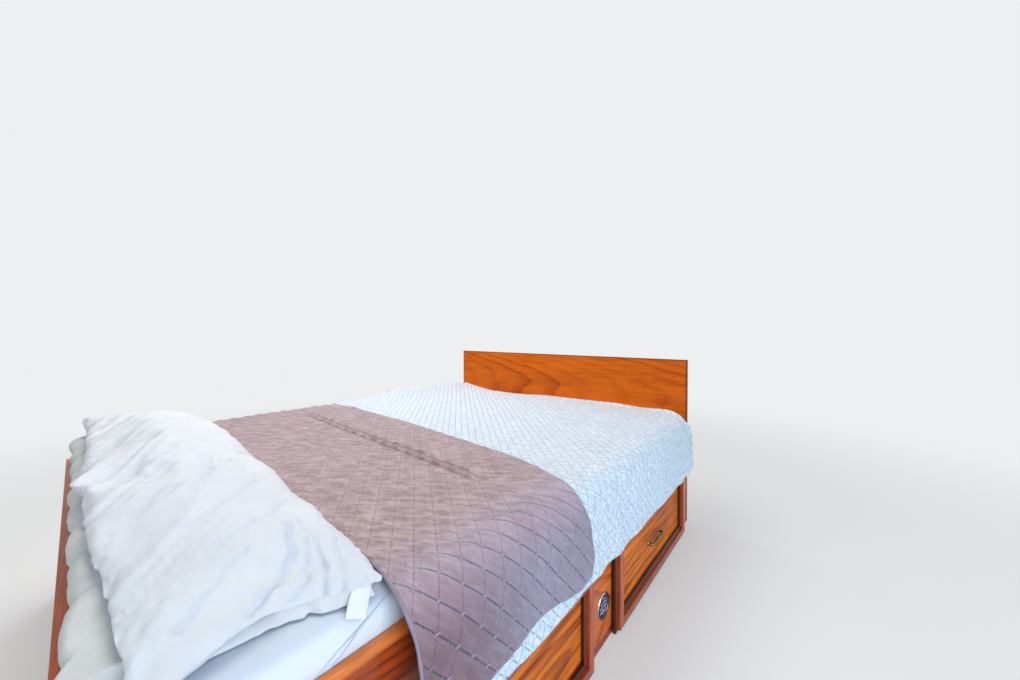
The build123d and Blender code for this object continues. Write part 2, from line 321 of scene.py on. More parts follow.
# %% Light the room
scene.view_settings.view_transform = "Standard"
lamps = [  # name, place, what it faces, size, power, colour
    ("ceiling lamp", (-0.5, -0.1, 2.7), (0, 0, 0.4), 1.6, 35, (1, 0.975, 0.95)),
    ("window light", (-2.6, 0.9, 2.2), (0, 0.1, 0.5), 1.5, 26, (0.98, 0.99, 1)),
    ("room light", (3.0, -0.9, 1.4), (0.6, 0, 0.35), 1.8, 56, (0.74, 0.86, 1)),
]
for name, place, target, size, power, colour in lamps:
    lamp = link_object(name, bpy.data.lights.new(name, "AREA"))
    lamp.data.size, lamp.data.energy, lamp.data.color = size, power, colour
    lamp.location = place
    lamp.rotation_euler = (Vector(target) - Vector(place)).to_track_quat("-Z", "Y").to_euler()
print(len(lamps), "lamps")

# %% Make the sky and the floor
background = paint(238, 239, 240)
room_colour = (0.9, 0.95, 1, 1)
room_strength = 0.42
floor_reach = 14
lit_part = (0.9, 4.5)         # the floor starts and ends to turn into the background, from the middle

sky = bpy.data.worlds.new("pale room")
scene.world = sky
sky.use_nodes = True
sky.node_tree.nodes.clear()
ray = add_node(sky.node_tree, "LightPath")
seen = ray["Is Camera Ray"]
for other in ("Is Glossy Ray", "Is Transmission Ray"):
    seen = seen.math("MAXIMUM", ray[other])
glows = [add_node(sky.node_tree, "Background", *look)
         for look in ((room_colour, room_strength), (background, 1))]
add_node(sky.node_tree, "OutputWorld", add_node(sky.node_tree, "MixShader", seen, *glows))

floor_paint, tree, shader = new_material("pale floor", Base_Color=paint(232, 230, 227), Roughness=0.7)
from_middle = add_node(tree, "VectorMath", object_place(tree), operation="LENGTH")["Value"]
share = from_middle.ramp(*lit_part, 0.35, 1.0) * add_node(tree, "LightPath")["Is Camera Ray"]
glow = add_node(tree, "Emission", background)
mixed = add_node(tree, "MixShader", share, Value(shader.outputs[0]), glow)
feed(tree.nodes["Material Output"], {"Surface": mixed})
corners = [(x * floor_reach, y * floor_reach, 0) for x, y in ((-1, -1), (1, -1), (1, 1), (-1, 1))]
new_piece("floor", corners, [(0, 1, 2, 3)], floor_paint)

# %% [markdown]
# ## Stained pine and its grain
# Every board is stained softwood. A board shows the rings of the trunk where it cuts them: near the middle
# of a trunk the cuts are long pointed arches, and further out they are close straight lines. An image
# could not follow forty boards of all sizes, so the grain is worked out. The group measures how far a point
# is from the trunk's middle line, which lies behind the board and tilts a little, and repeats a ring every
# few millimetres. Noise makes the rings wander. Fine fibres and pores run along the board.

# %% The grain group
grain_inputs = {"Vector": "Vector", "Ring Width": 0.008, "Pith Depth": 0.05, "Tilt": 0.08, "Waviness": 0.02,
                "Eyes": 0.0}
grain_group, given = new_tree("Shader", "plank grain", grain_inputs, ("Rings", "Streaks", "Fibres", "Pores"))
grain_place = given["Vector"]
wander_across, wander_deep, _ = grain_place.scaled(1.0, 4.5, 4.5).noise(1.0)["Color"].parts()
along, across, depth = grain_place.parts()
sideways = across + (wander_across - 0.5) * given["Waviness"] * 2.0
tilted = along.math("MULTIPLY_ADD", given["Tilt"], given["Pith Depth"])
from_pith = depth + tilted + (wander_deep - 0.5) * given["Waviness"] * 2.0
squares = sideways.math("ABSOLUTE").math("POWER", 2.0) + from_pith.math("ABSOLUTE").math("POWER", 2.0)
ring_place = squares.math("SQRT") / given["Ring Width"]
# Here and there a small hill in the trunk closes a few rings into a long eye
eye = add_node(grain_group, "TexVoronoi", Vector=grain_place.scaled(2.2, 8.0, 0.0), Scale=1.0)
ring_place = eye["Distance"].ramp(0.0, 0.22, 1.0, 0.0).math("MULTIPLY_ADD", given["Eyes"], ring_place)
ring = ring_place.math("FRACT")
late_wood = ring.ramp(0.4, 0.88) * ring.ramp(0.92, 1.0, 1.0, 0.0)
ring_number = ring_place.math("FLOOR")
ring_strength = add_node(grain_group, "TexWhiteNoise", W=ring_number, noise_dimensions="1D")["Value"]
add_node(grain_group, "NodeGroupOutput",
         Rings=late_wood * ring_strength.ramp(0.0, 1.0, 0.35, 1.0),
         Streaks=grain_place.scaled(2.4, 62.0, 62.0).noise(1.0, 3.0, 0.65).ramp(0.36, 0.68),
         Fibres=grain_place.scaled(9.0, 260.0, 260.0).noise(1.0, 3.0, 0.6),
         Pores=grain_place.scaled(28.0, 620.0, 620.0).noise(1.0, 1.0).ramp(0.62, 0.72))
print("plank grain group has", len(grain_group.nodes), "nodes")

# %% Wood finishes, one for each direction of the grain
# Each order says which axis of the bed runs along, across and into the board.
ALONG_BED, UPRIGHT, ACROSS_BED, FLAT_ACROSS = "YZX", "ZYX", "XZY", "XYZ"
# The colour of a painted highlight along a rounded top edge
highlight_orange = (240, 136, 62)


def wood(name, order, light, dark, deep, ring_width, pith, tilt, waviness, ring_share, gloss, blotch=0.3,
         centre=(0, 0), recess_shade_x=None, highlight_z=None, eyes=0.0, streaks=0.3, dark_edge=()):
    """Stained pine: screen colours of early wood, late wood and pores. centre moves the trunk's middle line
    along and across the board. Painted shade darkens what lies deeper than just in front of recess_shade_x,
    such as a moulding's recess. The colour darkens towards each dark_edge, given as X and Z, and a painted
    highlight lightens the rounded top near highlight_z."""
    material, tree, shader = new_material(name, Coat_Weight=gloss, Coat_Roughness=0.14,
                                          Specular_IOR_Level=0.15)
    axes = dict(zip("XYZ", object_place(tree).parts()))
    board_place = add_node(tree, "CombineXYZ", *(axes[axis] for axis in order))
    from_trunk = add_node(tree, "VectorMath", board_place, (*centre, 0), operation="SUBTRACT")
    grain = add_node(tree, "Group", node_tree=grain_group, Vector=from_trunk, Ring_Width=ring_width,
                     Pith_Depth=pith, Tilt=tilt, Waviness=waviness, Eyes=eyes)
    patches = board_place.scaled(2.5, 9.0, 9.0).noise(1.0, 3.0, 0.55).ramp(0.35, 0.75, 0.0, blotch)
    fibre = grain["Fibres"].ramp(0.3, 0.75)
    share = grain["Rings"] * ring_share + fibre * 0.28 + grain["Streaks"] * streaks + patches
    share = add_node(tree, "Clamp", share)
    colour = share.blend(light, dark)
    colour = (grain["Pores"] * 0.45).blend(colour, deep)
    # Painted shade: parts deeper than just in front of recess_shade_x, such as a moulding's recess, turn dark
    if recess_shade_x is not None:
        colour = axes["X"].ramp(recess_shade_x + 0.0095, recess_shade_x + 0.016, 0.88, 0.0).blend(colour, deep)
    # Painted highlight: the rounded top edge near highlight_z turns lighter
    if highlight_z is not None:
        colour = axes["Z"].ramp(highlight_z - 0.012, highlight_z - 0.001, 0.0, 0.75).blend(colour, highlight_orange)
    # The colour darkens towards each dark_edge
    for axis, edge in zip("XZ", dark_edge):
        colour = axes[axis].ramp(edge - 0.008, edge - 0.001, 0.0, 0.75).blend(colour, deep)
    feed(shader, {"Base Color": colour, "Roughness": share.ramp(0.0, 1.0, 0.5, 0.36)})
    bump(shader, fibre * 0.5 - grain["Pores"], strength=0.25, distance=0.0006)
    return material


# %% Mix each board's own stain
# The colours are early wood, late wood and pores. The numbers are ring width, pith depth, tilt, waviness,
# ring share, gloss and blotch, then the centre.
# The face rails get a painted highlight along their rounded top edge
face_along = wood("face wood", ALONG_BED, (182, 74, 20), (108, 34, 10), (60, 18, 8), 0.005, 0.05, 0.04, 0.006,
                  0.5, 0.4, 0.2, (0, 0.2), highlight_z=0.485, streaks=0.35)
face_across = wood("face wood across", ACROSS_BED, (204, 92, 34), (132, 48, 16), (70, 22, 8), 0.005, 0.05,
                   0.04, 0.006, 0.5, 0.3, 0.2)
face_between = wood("orange face wood", ALONG_BED, (232, 124, 56), (164, 66, 26), (96, 36, 14), 0.005, 0.06,
                    0.05, 0.006, 0.55, 0.15, 0.25, (0.3, 0.1), streaks=0.35)
panel_wood = wood("drawer panel wood", ALONG_BED, (246, 134, 36), (138, 54, 12), (72, 24, 8), 0.0058, 0.022,
                  0.012, 0.010, 0.42, 0.06, 0.32, (-0.5, 0.11), eyes=1.0, streaks=0.55)
# The mouldings get painted shade in their recess
moulding_along = wood("moulding along", ALONG_BED, (180, 78, 36), (104, 36, 16), (26, 8, 5), 0.005, 0.05,
                      0.03, 0.005, 0.5, 0.8, recess_shade_x=0.775)
moulding_upright = wood("moulding upright", UPRIGHT, (206, 98, 46), (128, 46, 20), (30, 9, 5), 0.005, 0.05,
                        0.03, 0.005, 0.5, 0.8, recess_shade_x=0.775)
veneer = wood("foot panel veneer", ACROSS_BED, (232, 112, 12), (160, 56, 4), (84, 26, 4), 0.0062, 0.03, 0.03,
              0.006, 0.36, 0.05, 0.3, (0.35, 0.60), eyes=3.2, streaks=0.22, dark_edge=(0.770, 0.800))
inner_along, inner_across = [
    wood(name, order, (222, 184, 132), (192, 142, 86), (150, 104, 60), 0.009, 0.05, 0.05, 0.02, 0.6, 0.1)
    for name, order in (("plain pine along", ALONG_BED), ("plain pine across", ACROSS_BED))]
inner_flat = wood("plain pine flat", FLAT_ACROSS, (224, 187, 136), (196, 146, 90), (150, 104, 60), 0.009,
                  0.04, 0.06, 0.02, 0.6, 0.1)

# %% Give the boards their wood
# Each wood goes to the nodes whose names end so. Of two endings that fit, the longer one counts.
board_woods = {
    face_along: "face_bottom_rail face_top_rail",
    face_between: "face_vent_board face_head_stile face_foot_stile",
    face_across: "head_board_low",
    veneer: "foot_panel",
    moulding_along: "frame_bottom frame_top",
    moulding_upright: "frame_head frame_foot",
    panel_wood: "panel",
    inner_along: "wall_board bay_back_board front_ledger back_ledger box_front box_back",
    inner_across: "head_side foot_side rails runners",
    inner_flat: "bed_slats bottom",
}
endings = {ending: material for material, names in board_woods.items() for ending in names.split()}
dressed = 0
for name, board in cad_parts.items():
    fitting = [ending for ending in endings if name.endswith(ending)]
    if fitting:
        board.data.materials.clear()
        board.data.materials.append(endings[max(fitting, key=len)])
        dressed += 1
print(dressed, "boards have their wood")

# %% [markdown]
# ## Quilted cloth
# Both covers are quilted: two thin layers with wadding between them, joined along crossing slanted lines,
# so that each cell stands up like a small pillow. The cells are real shape in the mesh. The stitched lines
# are finer than the mesh, so a node group draws them. Shape and lines share one map of the flat cloth, in
# metres, and one cell size, so they always meet.

# %% The quilting group
quilt_inputs = {"Vector": "Vector", "Half Length": 0.034, "Half Width": 0.0265, "Line Width": 0.003}
quilt_outputs = ("Line", "Family", "Dash", "Crossing", "Pucker", "Wrinkle")
quilt_group, given = new_tree("Shader", "quilting", quilt_inputs, quilt_outputs)
flat_u, flat_v, _ = given["Vector"].parts()
steps_u, steps_v = flat_u / (given["Half Length"] * 2.0), flat_v / (given["Half Width"] * 2.0)
families = [steps_u + steps_v, steps_u - steps_v]
cell = given["Half Length"].math("MINIMUM", given["Half Width"])
apart = [family.math("PINGPONG", 0.5) * (cell * 1.5) for family in families]
nearest, farthest = apart[0].math("MINIMUM", apart[1]), apart[0].math("MAXIMUM", apart[1])
on_first = apart[0].math("LESS_THAN", apart[1])
step_on_line = on_first.choose(*families)
# Puckers run across the nearest line. Long wrinkles run beside one family of lines and cross the other.
pucker_place = add_node(quilt_group, "CombineXYZ", step_on_line * 7.0, nearest * 28.0,
                        on_first * 7.3 + flat_v * 9.0)
fading = nearest.ramp(0.0, cell * 0.8, 1.0, 0.25)
wrinkle_place = add_node(quilt_group, "CombineXYZ", families[1] * 2.7, families[0] * 0.8)
add_node(quilt_group, "NodeGroupOutput",
         Line=nearest.ramp(0.0, given["Line Width"] * 0.5, 1.0, 0.0),
         Family=on_first,
         Dash=(step_on_line * 8.0).math("PINGPONG", 0.5).ramp(0.12, 0.24),
         Crossing=farthest.ramp(0.001, 0.005, 1.0, 0.0),
         Pucker=pucker_place.noise(1.0, 2.0, 0.6) * fading,
         Wrinkle=wrinkle_place.noise(1.0, 3.0, 0.55).ramp(0.33, 0.67))
print("quilting group has", len(quilt_group.nodes), "nodes")

# %% The weave group
# Threads over and under each other, for every cloth on the bed.
full_turn = 6.2832
weave_group, given = new_tree("Shader", "weave", {"Vector": "Vector", "Thread": 0.0008}, ("Height",))
per_metre = add_node(weave_group, "Math", full_turn, given["Thread"], operation="DIVIDE")
wave_u, wave_v = [(part * per_metre).math("SINE") for part in given["Vector"].parts()[:2]]
add_node(weave_group, "NodeGroupOutput", Height=wave_u * wave_v * 0.5 + 0.5)


def weave(place, thread):
    """The height of woven threads of a width."""
    return add_node(place.tree, "Group", node_tree=weave_group, Vector=place, Thread=thread)["Height"]


def fold_mark(tree):
    """Each point's value of painted shading."""
    return add_node(tree, "Attribute", attribute_name="fold")["Fac"]


# %% Quilted and plain cloth finishes
blue_sheen = (0.62, 0.72, 1, 1)


def quilted_cloth(name, colours, cell, line_width, line_share, relief, sheen, shade_and_highlight, light_and_shade_tints=(),
                  near_tint=None):
    """Quilted microfibre. colours are the plain cloth, its softer patches, the painted shade in its creases,
    the painted highlight on its crests and the painted shade in the stitched lines. relief is how deep
    puckers and wrinkles look, and mottling how strongly the painted shade in creases and the painted
    highlight on crests show. tints are (start, end, colour) of painted light and shade down the cloth. A
    cloth with a near_tint, a painted shade for its hanging part near the head, shows the painted shade of one
    family of lines on top and of the other where it hangs."""
    material, tree, shader = new_material(name, Roughness=0.8, Sheen_Weight=sheen, Sheen_Roughness=0.35,
                                          Sheen_Tint=blue_sheen)
    plain, patches, crease_shade, crest_highlight, line_shade = colours
    flat = add_node(tree, "UVMap", uv_map="cloth")
    down, side, _ = flat.parts()
    quilt = add_node(tree, "Group", node_tree=quilt_group, Vector=flat, Half_Length=cell[0],
                     Half_Width=cell[1], Line_Width=line_width)
    stitch = quilt["Line"] * quilt["Dash"].ramp(0.0, 1.0, 0.5, 1.0)
    stitch = stitch - stitch * quilt["Crossing"]
    rough = quilt["Wrinkle"] * 0.6 + quilt["Pucker"] * 0.8
    hanging = down.ramp(-0.24, -0.04)
    calmer = hanging.ramp(0.0, 1.0, 1.0, 1.0 if near_tint is None else 0.35)
    colour = flat.noise(7.0, 3.0, 0.6).ramp(0.3, 0.7).blend(plain, patches)
    # Painted shade in the creases and a painted highlight on the crests, where puckers and wrinkles dip and
    # rise
    colour = (rough.ramp(0.25, 0.6, shade_and_highlight[0], 0.0) * calmer).blend(colour, crease_shade)
    colour = (rough.ramp(0.6, 0.95, 0.0, shade_and_highlight[1]) * calmer).blend(colour, crest_highlight)
    # Painted shade where points are marked, beside the throw's ridges
    colour = fold_mark(tree).blend(colour, crease_shade)
    # On the throw, the painted shade of one family of stitched lines shows on top, and that of the other
    # where it hangs
    if near_tint is not None:
        strengths = [hanging.ramp(0.0, 1.0, *levels) for levels in ((0.2, 1.0), (0.4, 0.35))]
        stitch = stitch * quilt["Family"].choose(*strengths)
    # Painted shade in the stitched grooves
    colour = (stitch * line_share).blend(colour, line_shade)
    # Painted cool light and shade down the cloth, on its bend and where it hangs
    for start, end, painted_tint in light_and_shade_tints:
        colour = down.ramp(start, end).blend(colour, painted_tint, blend_type="MULTIPLY")
    # Painted shade on the hanging part near the head
    if near_tint is not None:
        near = down.ramp(-0.14, 0.0) * side.ramp(-0.22, -0.02, 1.0, 0.0)
        colour = near.blend(colour, near_tint, blend_type="MULTIPLY")
    feed(shader, {"Base Color": colour})
    bump(shader, rough * relief - stitch + weave(flat, thread=0.0009) * 0.05, strength=1.0,
         distance=0.003)
    return material


def plain_cloth(name, light, shaded, thread, crease, sheen=0.1, roughness=0.75, hollow=None):
    """Smooth woven cotton with a soft, slightly uneven surface, in screen colours. hollow is the painted
    colour
    where its points are marked: painted shade deep in the duvet's folds, and painted light on the sheet by
    the rail."""
    material, tree, shader = new_material(name, Roughness=roughness, Sheen_Weight=sheen, Sheen_Roughness=0.35)
    place = object_place(tree)
    colour = place.noise(6.0, 3.0, 0.6).ramp(0.35, 0.7).blend(light, shaded)
    # Painted shading where points are marked: darker in the duvet's folds, lighter on the sheet by the rail
    if hollow is not None:
        colour = fold_mark(tree).blend(colour, hollow)
    feed(shader, {"Base Color": colour})
    slanted = add_node(tree, "Mapping", Vector=place, Rotation=(0.3, 0.2, 0.785))
    soft = slanted.scaled(14.0, 46.0, 30.0).noise(1.0, 3.0, 0.5)
    bump(shader, weave(place, thread) * 0.03 + soft, strength=crease, distance=0.004)
    return material


def flecked(name, first, second, scale, **constants):
    """Thread or pressed cloth: two screen colours in fine flecks."""
    material, tree, shader = new_material(name, **constants)
    feed(shader, {"Base Color": object_place(tree).noise(scale).blend(first, second)})
    return material


throw_cell = (0.0355, 0.0252)
# The plain cloth, its softer patches, painted shade for creases, a painted highlight for crests and painted
# shade for the stitched lines
throw_colours = ((184, 153, 147), (170, 140, 135), (118, 84, 76), (222, 196, 190), (62, 46, 52))
# Painted cool light on the throw's bend, and painted shade where it hangs
throw_light_and_shade = [(-0.25, -0.10, (1.0, 1.12, 1.40, 1)), (-0.12, 0.0, (0.68, 0.80, 0.90, 1))]
# The throw's hanging part near the head gets a darker, browner painted shade
throw_cloth = quilted_cloth("brown quilted cloth", throw_colours, throw_cell, line_width=0.0040,
                            line_share=0.8, relief=1.5, sheen=0.5, shade_and_highlight=(0.42, 0.34),
                            light_and_shade_tints=throw_light_and_shade, near_tint=(0.72, 0.50, 0.46, 1))
coverlet_cell = (0.020, 0.018)
# The plain cloth, its softer patches, painted shade for creases, a painted highlight for crests and painted
# shade for the stitched lines
coverlet_colours = ((233, 239, 243), (226, 234, 240), (200, 213, 230), (242, 245, 249), (140, 160, 190))
# The coverlet's bend and hanging part get a painted cool shade
coverlet_cloth = quilted_cloth("white quilted cloth", coverlet_colours, coverlet_cell, line_width=0.0034,
                               line_share=0.22, relief=1.3, sheen=0.2, shade_and_highlight=(0.75, 0.6),
                               light_and_shade_tints=[(1.52, 1.63, (0.86, 0.95, 1.01, 1))])
# The duvet's hollow colour is painted shade in its deepest folds
duvet_cotton = plain_cloth("white duvet cotton", (223, 225, 228), (216, 219, 224), thread=0.0005, crease=0.8,
                           hollow=(186, 202, 222))
quilt_cotton = plain_cloth("folded quilt cotton", (214, 214, 210), (204, 205, 202), thread=0.0006, crease=0.5)
# The sheet's hollow colour is painted light, by the rail
sheet_cotton = plain_cloth("white sheet cotton", (203, 214, 226), (197, 209, 223), thread=0.0005, crease=0.12,
                           hollow=(222, 232, 243))
label_satin = plain_cloth("label satin", (231, 235, 240), (223, 228, 234), thread=0.0004, crease=0.1,
                          sheen=0.3, roughness=0.45)
thread_look = {"scale": 700.0, "Roughness": 0.6, "Sheen_Weight": 0.2}
brown_thread = flecked("brown thread", (122, 104, 104), (150, 132, 130), **thread_look)
white_thread = flecked("white thread", (206, 214, 224), (236, 240, 244), **thread_look)
bar_cloth = flecked("pressed brown bars", (172, 160, 172), (146, 134, 148), scale=500.0, Roughness=0.7,
                    Sheen_Weight=0.4, Sheen_Roughness=0.35, Sheen_Tint=blue_sheen)
print(len(bpy.data.materials), "materials so far")

# %% [markdown]
# ## How a cover lies
# Each cover lies flat on the mattress, turns down round a soft bend in front of the face frame and hangs to
# its hem. A cloth simulation would settle it somewhere, but the drawers need it to stop above their fronts,
# so its path is worked out: a straight run, a quarter circle and a straight drop. Folds, hills and cells
# are then lifted off that path along its own outward direction.

# %% The path over the edge of the bed
mattress_low, mattress_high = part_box("mattress")
coverlet_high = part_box("coverlet")[1]
throw_low, throw_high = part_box("throw")
rail_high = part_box("face_top_rail")[1]
panel_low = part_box("foot_panel")[0]
head_end = cad_low.y

bend_radius = 0.088           # the coverlet's outer radius in the frame
bend_x = coverlet_high.x - bend_radius
bend_z = coverlet_high.z - bend_radius
cover_start = mattress_low.x + 0.002
flat_run = bend_x - cover_start


def cover_path(distance, radius):
    """Points and outward directions at a distance from the wall edge, measured along the cloth."""
    turn = np.clip((distance - flat_run) / radius, 0, np.pi / 2)
    drop = np.clip(distance - flat_run - radius * np.pi / 2, 0, None)
    x = cover_start + np.clip(distance, None, flat_run) + radius * np.sin(turn)
    z = bend_z + radius * np.cos(turn) - drop
    return x, z, np.sin(turn), np.cos(turn)


def distance_at(z, radius):
    """How far along the cloth its hanging part reaches a height."""
    return flat_run + radius * np.pi / 2 + bend_z - z


def quilt_cells(flat, cell, fullness):
    """Heights from 0 on the stitched lines to 1 in the middle of a cell."""
    u, v = flat[..., 0] / cell[0], flat[..., 1] / cell[1]
    return np.abs(np.sin(np.pi * (u + v) / 2) * np.sin(np.pi * (u - v) / 2)) ** fullness


# %% Close a cloth into a thin solid
def thin_solid(name, top, under, step, material, cloth_map):
    """A closed sheet. The underside takes every step-th point of the top's grid, because it hardly shows."""
    low = under[::step, ::step]
    points = np.concatenate([top.reshape(-1, 3), low.reshape(-1, 3)])
    flat = np.concatenate([cloth_map.reshape(-1, 2), cloth_map[::step, ::step].reshape(-1, 2)])
    index = np.arange(top[..., 0].size).reshape(top.shape[:2])
    low_index = index.size + np.arange(low[..., 0].size).reshape(low.shape[:2])
    faces = grid_faces(index) + grid_faces(low_index)
    for border in BORDERS:
        fine, coarse = index[border].tolist(), low_index[border].tolist()
        for k, (here, after) in enumerate(zip(coarse, coarse[1:])):
            run = fine[k * step:(k + 1) * step + 1]
            faces += [(a, b, here) for a, b in zip(run, run[1:])]
            faces.append((run[-1], after, here))
    return face_outwards(new_piece(name, points, faces, material, flat))


# %% [markdown]
# ## The white coverlet
# The coverlet reaches from under the throw to the foot panel. Along the wall it stands up in two soft
# waves, against the panel its edge curls up, and at the far end the hanging part swings in from the panel.
# Its outline along the panel and along the wall is read off as a few heights, and everything between them
# is blended.

# %% Shape the coverlet
coverlet_radius = 0.0855
coverlet_thickness = 0.005
coverlet_puff = 0.0042
coverlet_step = 0.0052
under_step = 4                # the underside's grid is this much coarser
coverlet_near = throw_low.y + 0.1
coverlet_hem = 0.3065         # stays above the drawer fronts
coverlet_fine_from = throw_high.y + 0.02

# Pairs of rows: X and height, Y and height, distance past the bend and swing
panel_edge = ((-0.80, -0.66, -0.50, -0.32, -0.06, 0.20, 0.40, 0.55, 0.70, 0.78),
              (0.556, 0.538, 0.522, 0.519, 0.535, 0.539, 0.543, 0.535, 0.544, 0.536))
wall_edge = ((-0.60, -0.30, -0.08, 0.13, 0.25, 0.36, 0.52, 0.68, 0.80, 0.90, 0.96),
             (0.535, 0.535, 0.545, 0.552, 0.560, 0.580, 0.576, 0.566, 0.578, 0.560, 0.548))
foot_swing = ((-0.09, -0.06, -0.02, 0.02, 0.06, 0.11, 0.15, 0.20, 0.25, 0.30),
              (0.0, 0.004, 0.022, 0.058, 0.088, 0.104, 0.098, 0.094, 0.100, 0.112))


def steps_of(length, step):
    """How many steps fit a length, in whole steps of the underside."""
    return under_step * round(length / step / under_step)


share_along = np.linspace(0, 1, steps_of(distance_at(coverlet_hem, coverlet_radius), coverlet_step) + 1)
fine_rows = steps_of(panel_low.y - coverlet_fine_from, coverlet_step)
row_places = np.concatenate([np.linspace(coverlet_near, coverlet_fine_from, 8, endpoint=False),
                             np.linspace(coverlet_fine_from, panel_low.y - 0.002, fine_rows + 1)])


def coverlet_grid(inwards):
    """The coverlet's outer surface, or one a distance inwards from it, with its cloth map."""
    across, share = np.meshgrid(row_places, share_along, indexing="ij")
    hem_wave = 0.0025 * np.sin(across * 17 + 0.6) + 0.003 * soft_noise(across[..., None], 0.14, 3)
    reach = distance_at(coverlet_hem, coverlet_radius) - np.abs(hem_wave)
    distance = share * reach
    x, z, out_x, out_z = cover_path(distance, coverlet_radius)
    hanging = smooth_step(distance, flat_run - 0.02, flat_run + 0.16)
    # The far end swings in from the foot panel once it hangs
    y = across - np.interp(distance - flat_run, *foot_swing) * smooth_step(across, 0.45, panel_low.y)
    flat = columns(distance, across)
    # Heights along the panel and along the wall, blended into the flat top
    top_z = bend_z + coverlet_radius
    panel_rise = np.interp(x, *panel_edge) - top_z
    panel_share = smooth_step(across, panel_low.y - 0.032, panel_low.y - 0.006) * (1 - hanging)
    wall_rise = np.interp(across, *wall_edge) - top_z
    wall_share = hill(x - cover_start, 0.13) * (1 - panel_share)
    lift = panel_rise * panel_share + wall_rise * wall_share
    lift -= 0.008 * hill(across - panel_low.y + 0.036, 0.02) * (1 - hanging) * (1 - wall_share)
    # Slow hills, and shallow pleats where the cloth hangs
    lift += 0.0034 * soft_noise(flat, 0.23, 11) * (1 - hanging) * smooth_step(distance, 0, 0.05)
    pleats = np.sin(across * 31 + 2.4 * np.sin(across * 7)) + 0.7 * soft_noise(flat, (0.3, 0.07), 5)
    lift += 0.0032 * pleats * smooth_step(distance, flat_run + 0.1, reach[0, 0])
    lift += 0.006 * smooth_step(distance, flat_run + 0.15, reach[0, 0])
    lift += -inwards if inwards else coverlet_puff * quilt_cells(flat, coverlet_cell, 0.6)
    return columns(x + out_x * lift, y, z + out_z * lift), flat


coverlet_top, coverlet_map = coverlet_grid(0)
coverlet_under = coverlet_grid(coverlet_thickness)[0]
coverlet = thin_solid("quilted_coverlet", coverlet_top, coverlet_under, under_step, coverlet_cloth,
                      coverlet_map)
hand_over(coverlet, "coverlet")

# %% [markdown]
# ## The brown throw
# The throw lies over the coverlet across the whole bed. Its cells are larger, about 50 by 71 mm from point
# to point. Its far edge runs nearly straight on top, then curves inwards round the bend and ends in a
# rounded corner. One point where stitched lines cross, seen on the hanging part, sets where all the others
# are. Two thin ridges follow the coverlet's edge, which lies hidden under it.

# %% Shape the throw
throw_flat = (1.79, 0.56)
throw_radius = 0.0948
throw_thickness = 0.0045
throw_puff = 0.0038
throw_step = 0.0047
crossing_along, crossing_y = 1.6752, -0.385      # on the cloth: along it, and across the bed
throw_slide = 0.155           # how fast the hanging part drifts towards the foot
slide_from = 1.60             # where on the cloth that starts
throw_reach = 1.78            # how far the longest part of the hem is along the cloth
# Pairs of rows: the edges' distances along the cloth and Y, and the hem's Y and height
far_edge = ((0, 0.19, 0.62, 0.93, 1.16, 1.28, 1.40, 1.50, 1.575, 1.62, 1.66, 1.70, 1.75, 1.80),
            (-0.040, -0.034, -0.027, -0.045, -0.057, -0.070, -0.088, -0.120, -0.148, -0.156, -0.155,
             -0.147, -0.136, -0.132))
near_edge = ((0, 1.42, 1.50, 1.54, 1.58, 1.62, 1.68, 1.80),
             (-0.633, -0.634, -0.637, -0.645, -0.652, -0.649, -0.652, -0.640))
hem = ((-0.66, -0.56, -0.50, -0.43, -0.37, -0.29, -0.21, -0.13),
       (0.350, 0.352, 0.362, 0.369, 0.370, 0.359, 0.342, 0.343))
corner_round = 0.05


def eased(value, line):
    """A line through a few levels, softened so that it has no corners."""
    return np.mean([np.interp(value + shift, *line) for shift in np.linspace(-0.03, 0.03, 7)], axis=0)


def slid(distance):
    """How far the hanging cloth has drifted towards the foot."""
    return throw_slide * (distance - slide_from) * smooth_step(distance, slide_from - 0.04, slide_from + 0.06)


def throw_surface(distance, y, share_across, inwards=0.0):
    """Points of the throw's outer surface, or a distance inwards from it, its cloth map and its painted ridge
    shade.
    """
    x, z, out_x, out_z = cover_path(distance, throw_radius)
    across = y - slid(distance) - crossing_y + slid(crossing_along)
    flat = columns(distance - crossing_along, across)
    hanging = smooth_step(distance, flat_run, flat_run + 0.16)
    lift = 0.0022 * soft_noise(flat, 0.17, 21) * (1 - hanging)
    lift += 0.0012 * soft_noise(flat, (0.10, 0.035), 22)
    # Two ridges over the coverlet's hidden edge, pinched where stitched lines cross them
    ridge_y = -0.247 - 0.022 * distance
    first_family = np.sin(np.pi * (flat[..., 0] / throw_cell[0] + across / throw_cell[1]) / 2)
    pinch = 0.35 + 0.65 * np.abs(first_family) ** 0.7
    shown = smooth_step(distance, 0.1, 0.3) * (1 - smooth_step(distance, 1.26, 1.44))
    fold = 0
    for shift, height in ((0, 0.0100), (0.028, 0.0075)):
        away = y - ridge_y - shift + 0.003 * soft_noise(flat[..., :1], 0.06, 24)
        lift += height * hill(away, 0.0060) * pinch * shown
        # Painted shade in the valley just beside each ridge
        fold += 0.8 * hill(away + 0.0095, 0.0045) * shown * pinch
    # Lifted edges near the wall
    lift += 0.007 * hill(distance - 0.22, 0.06) * smooth_step(share_across, 0.86, 1.0)
    # The hanging part stands off in shallow pleats
    pleats = np.sin(y * 26 + 1.0) + 0.6 * soft_noise(flat, (0.25, 0.08), 23)
    lift += 0.0042 * pleats * smooth_step(distance, flat_run + 0.09, throw_reach)
    lift += 0.006 * smooth_step(distance, flat_run + 0.12, throw_reach)
    lift += -inwards if inwards else throw_puff * quilt_cells(flat, throw_cell, 0.45)
    return columns(x + out_x * lift, y, z + out_z * lift), flat, fold


def throw_edges(distance):
    """Where the throw's near and far edges are, at a distance along the cloth."""
    return eased(distance, near_edge), eased(distance, far_edge)


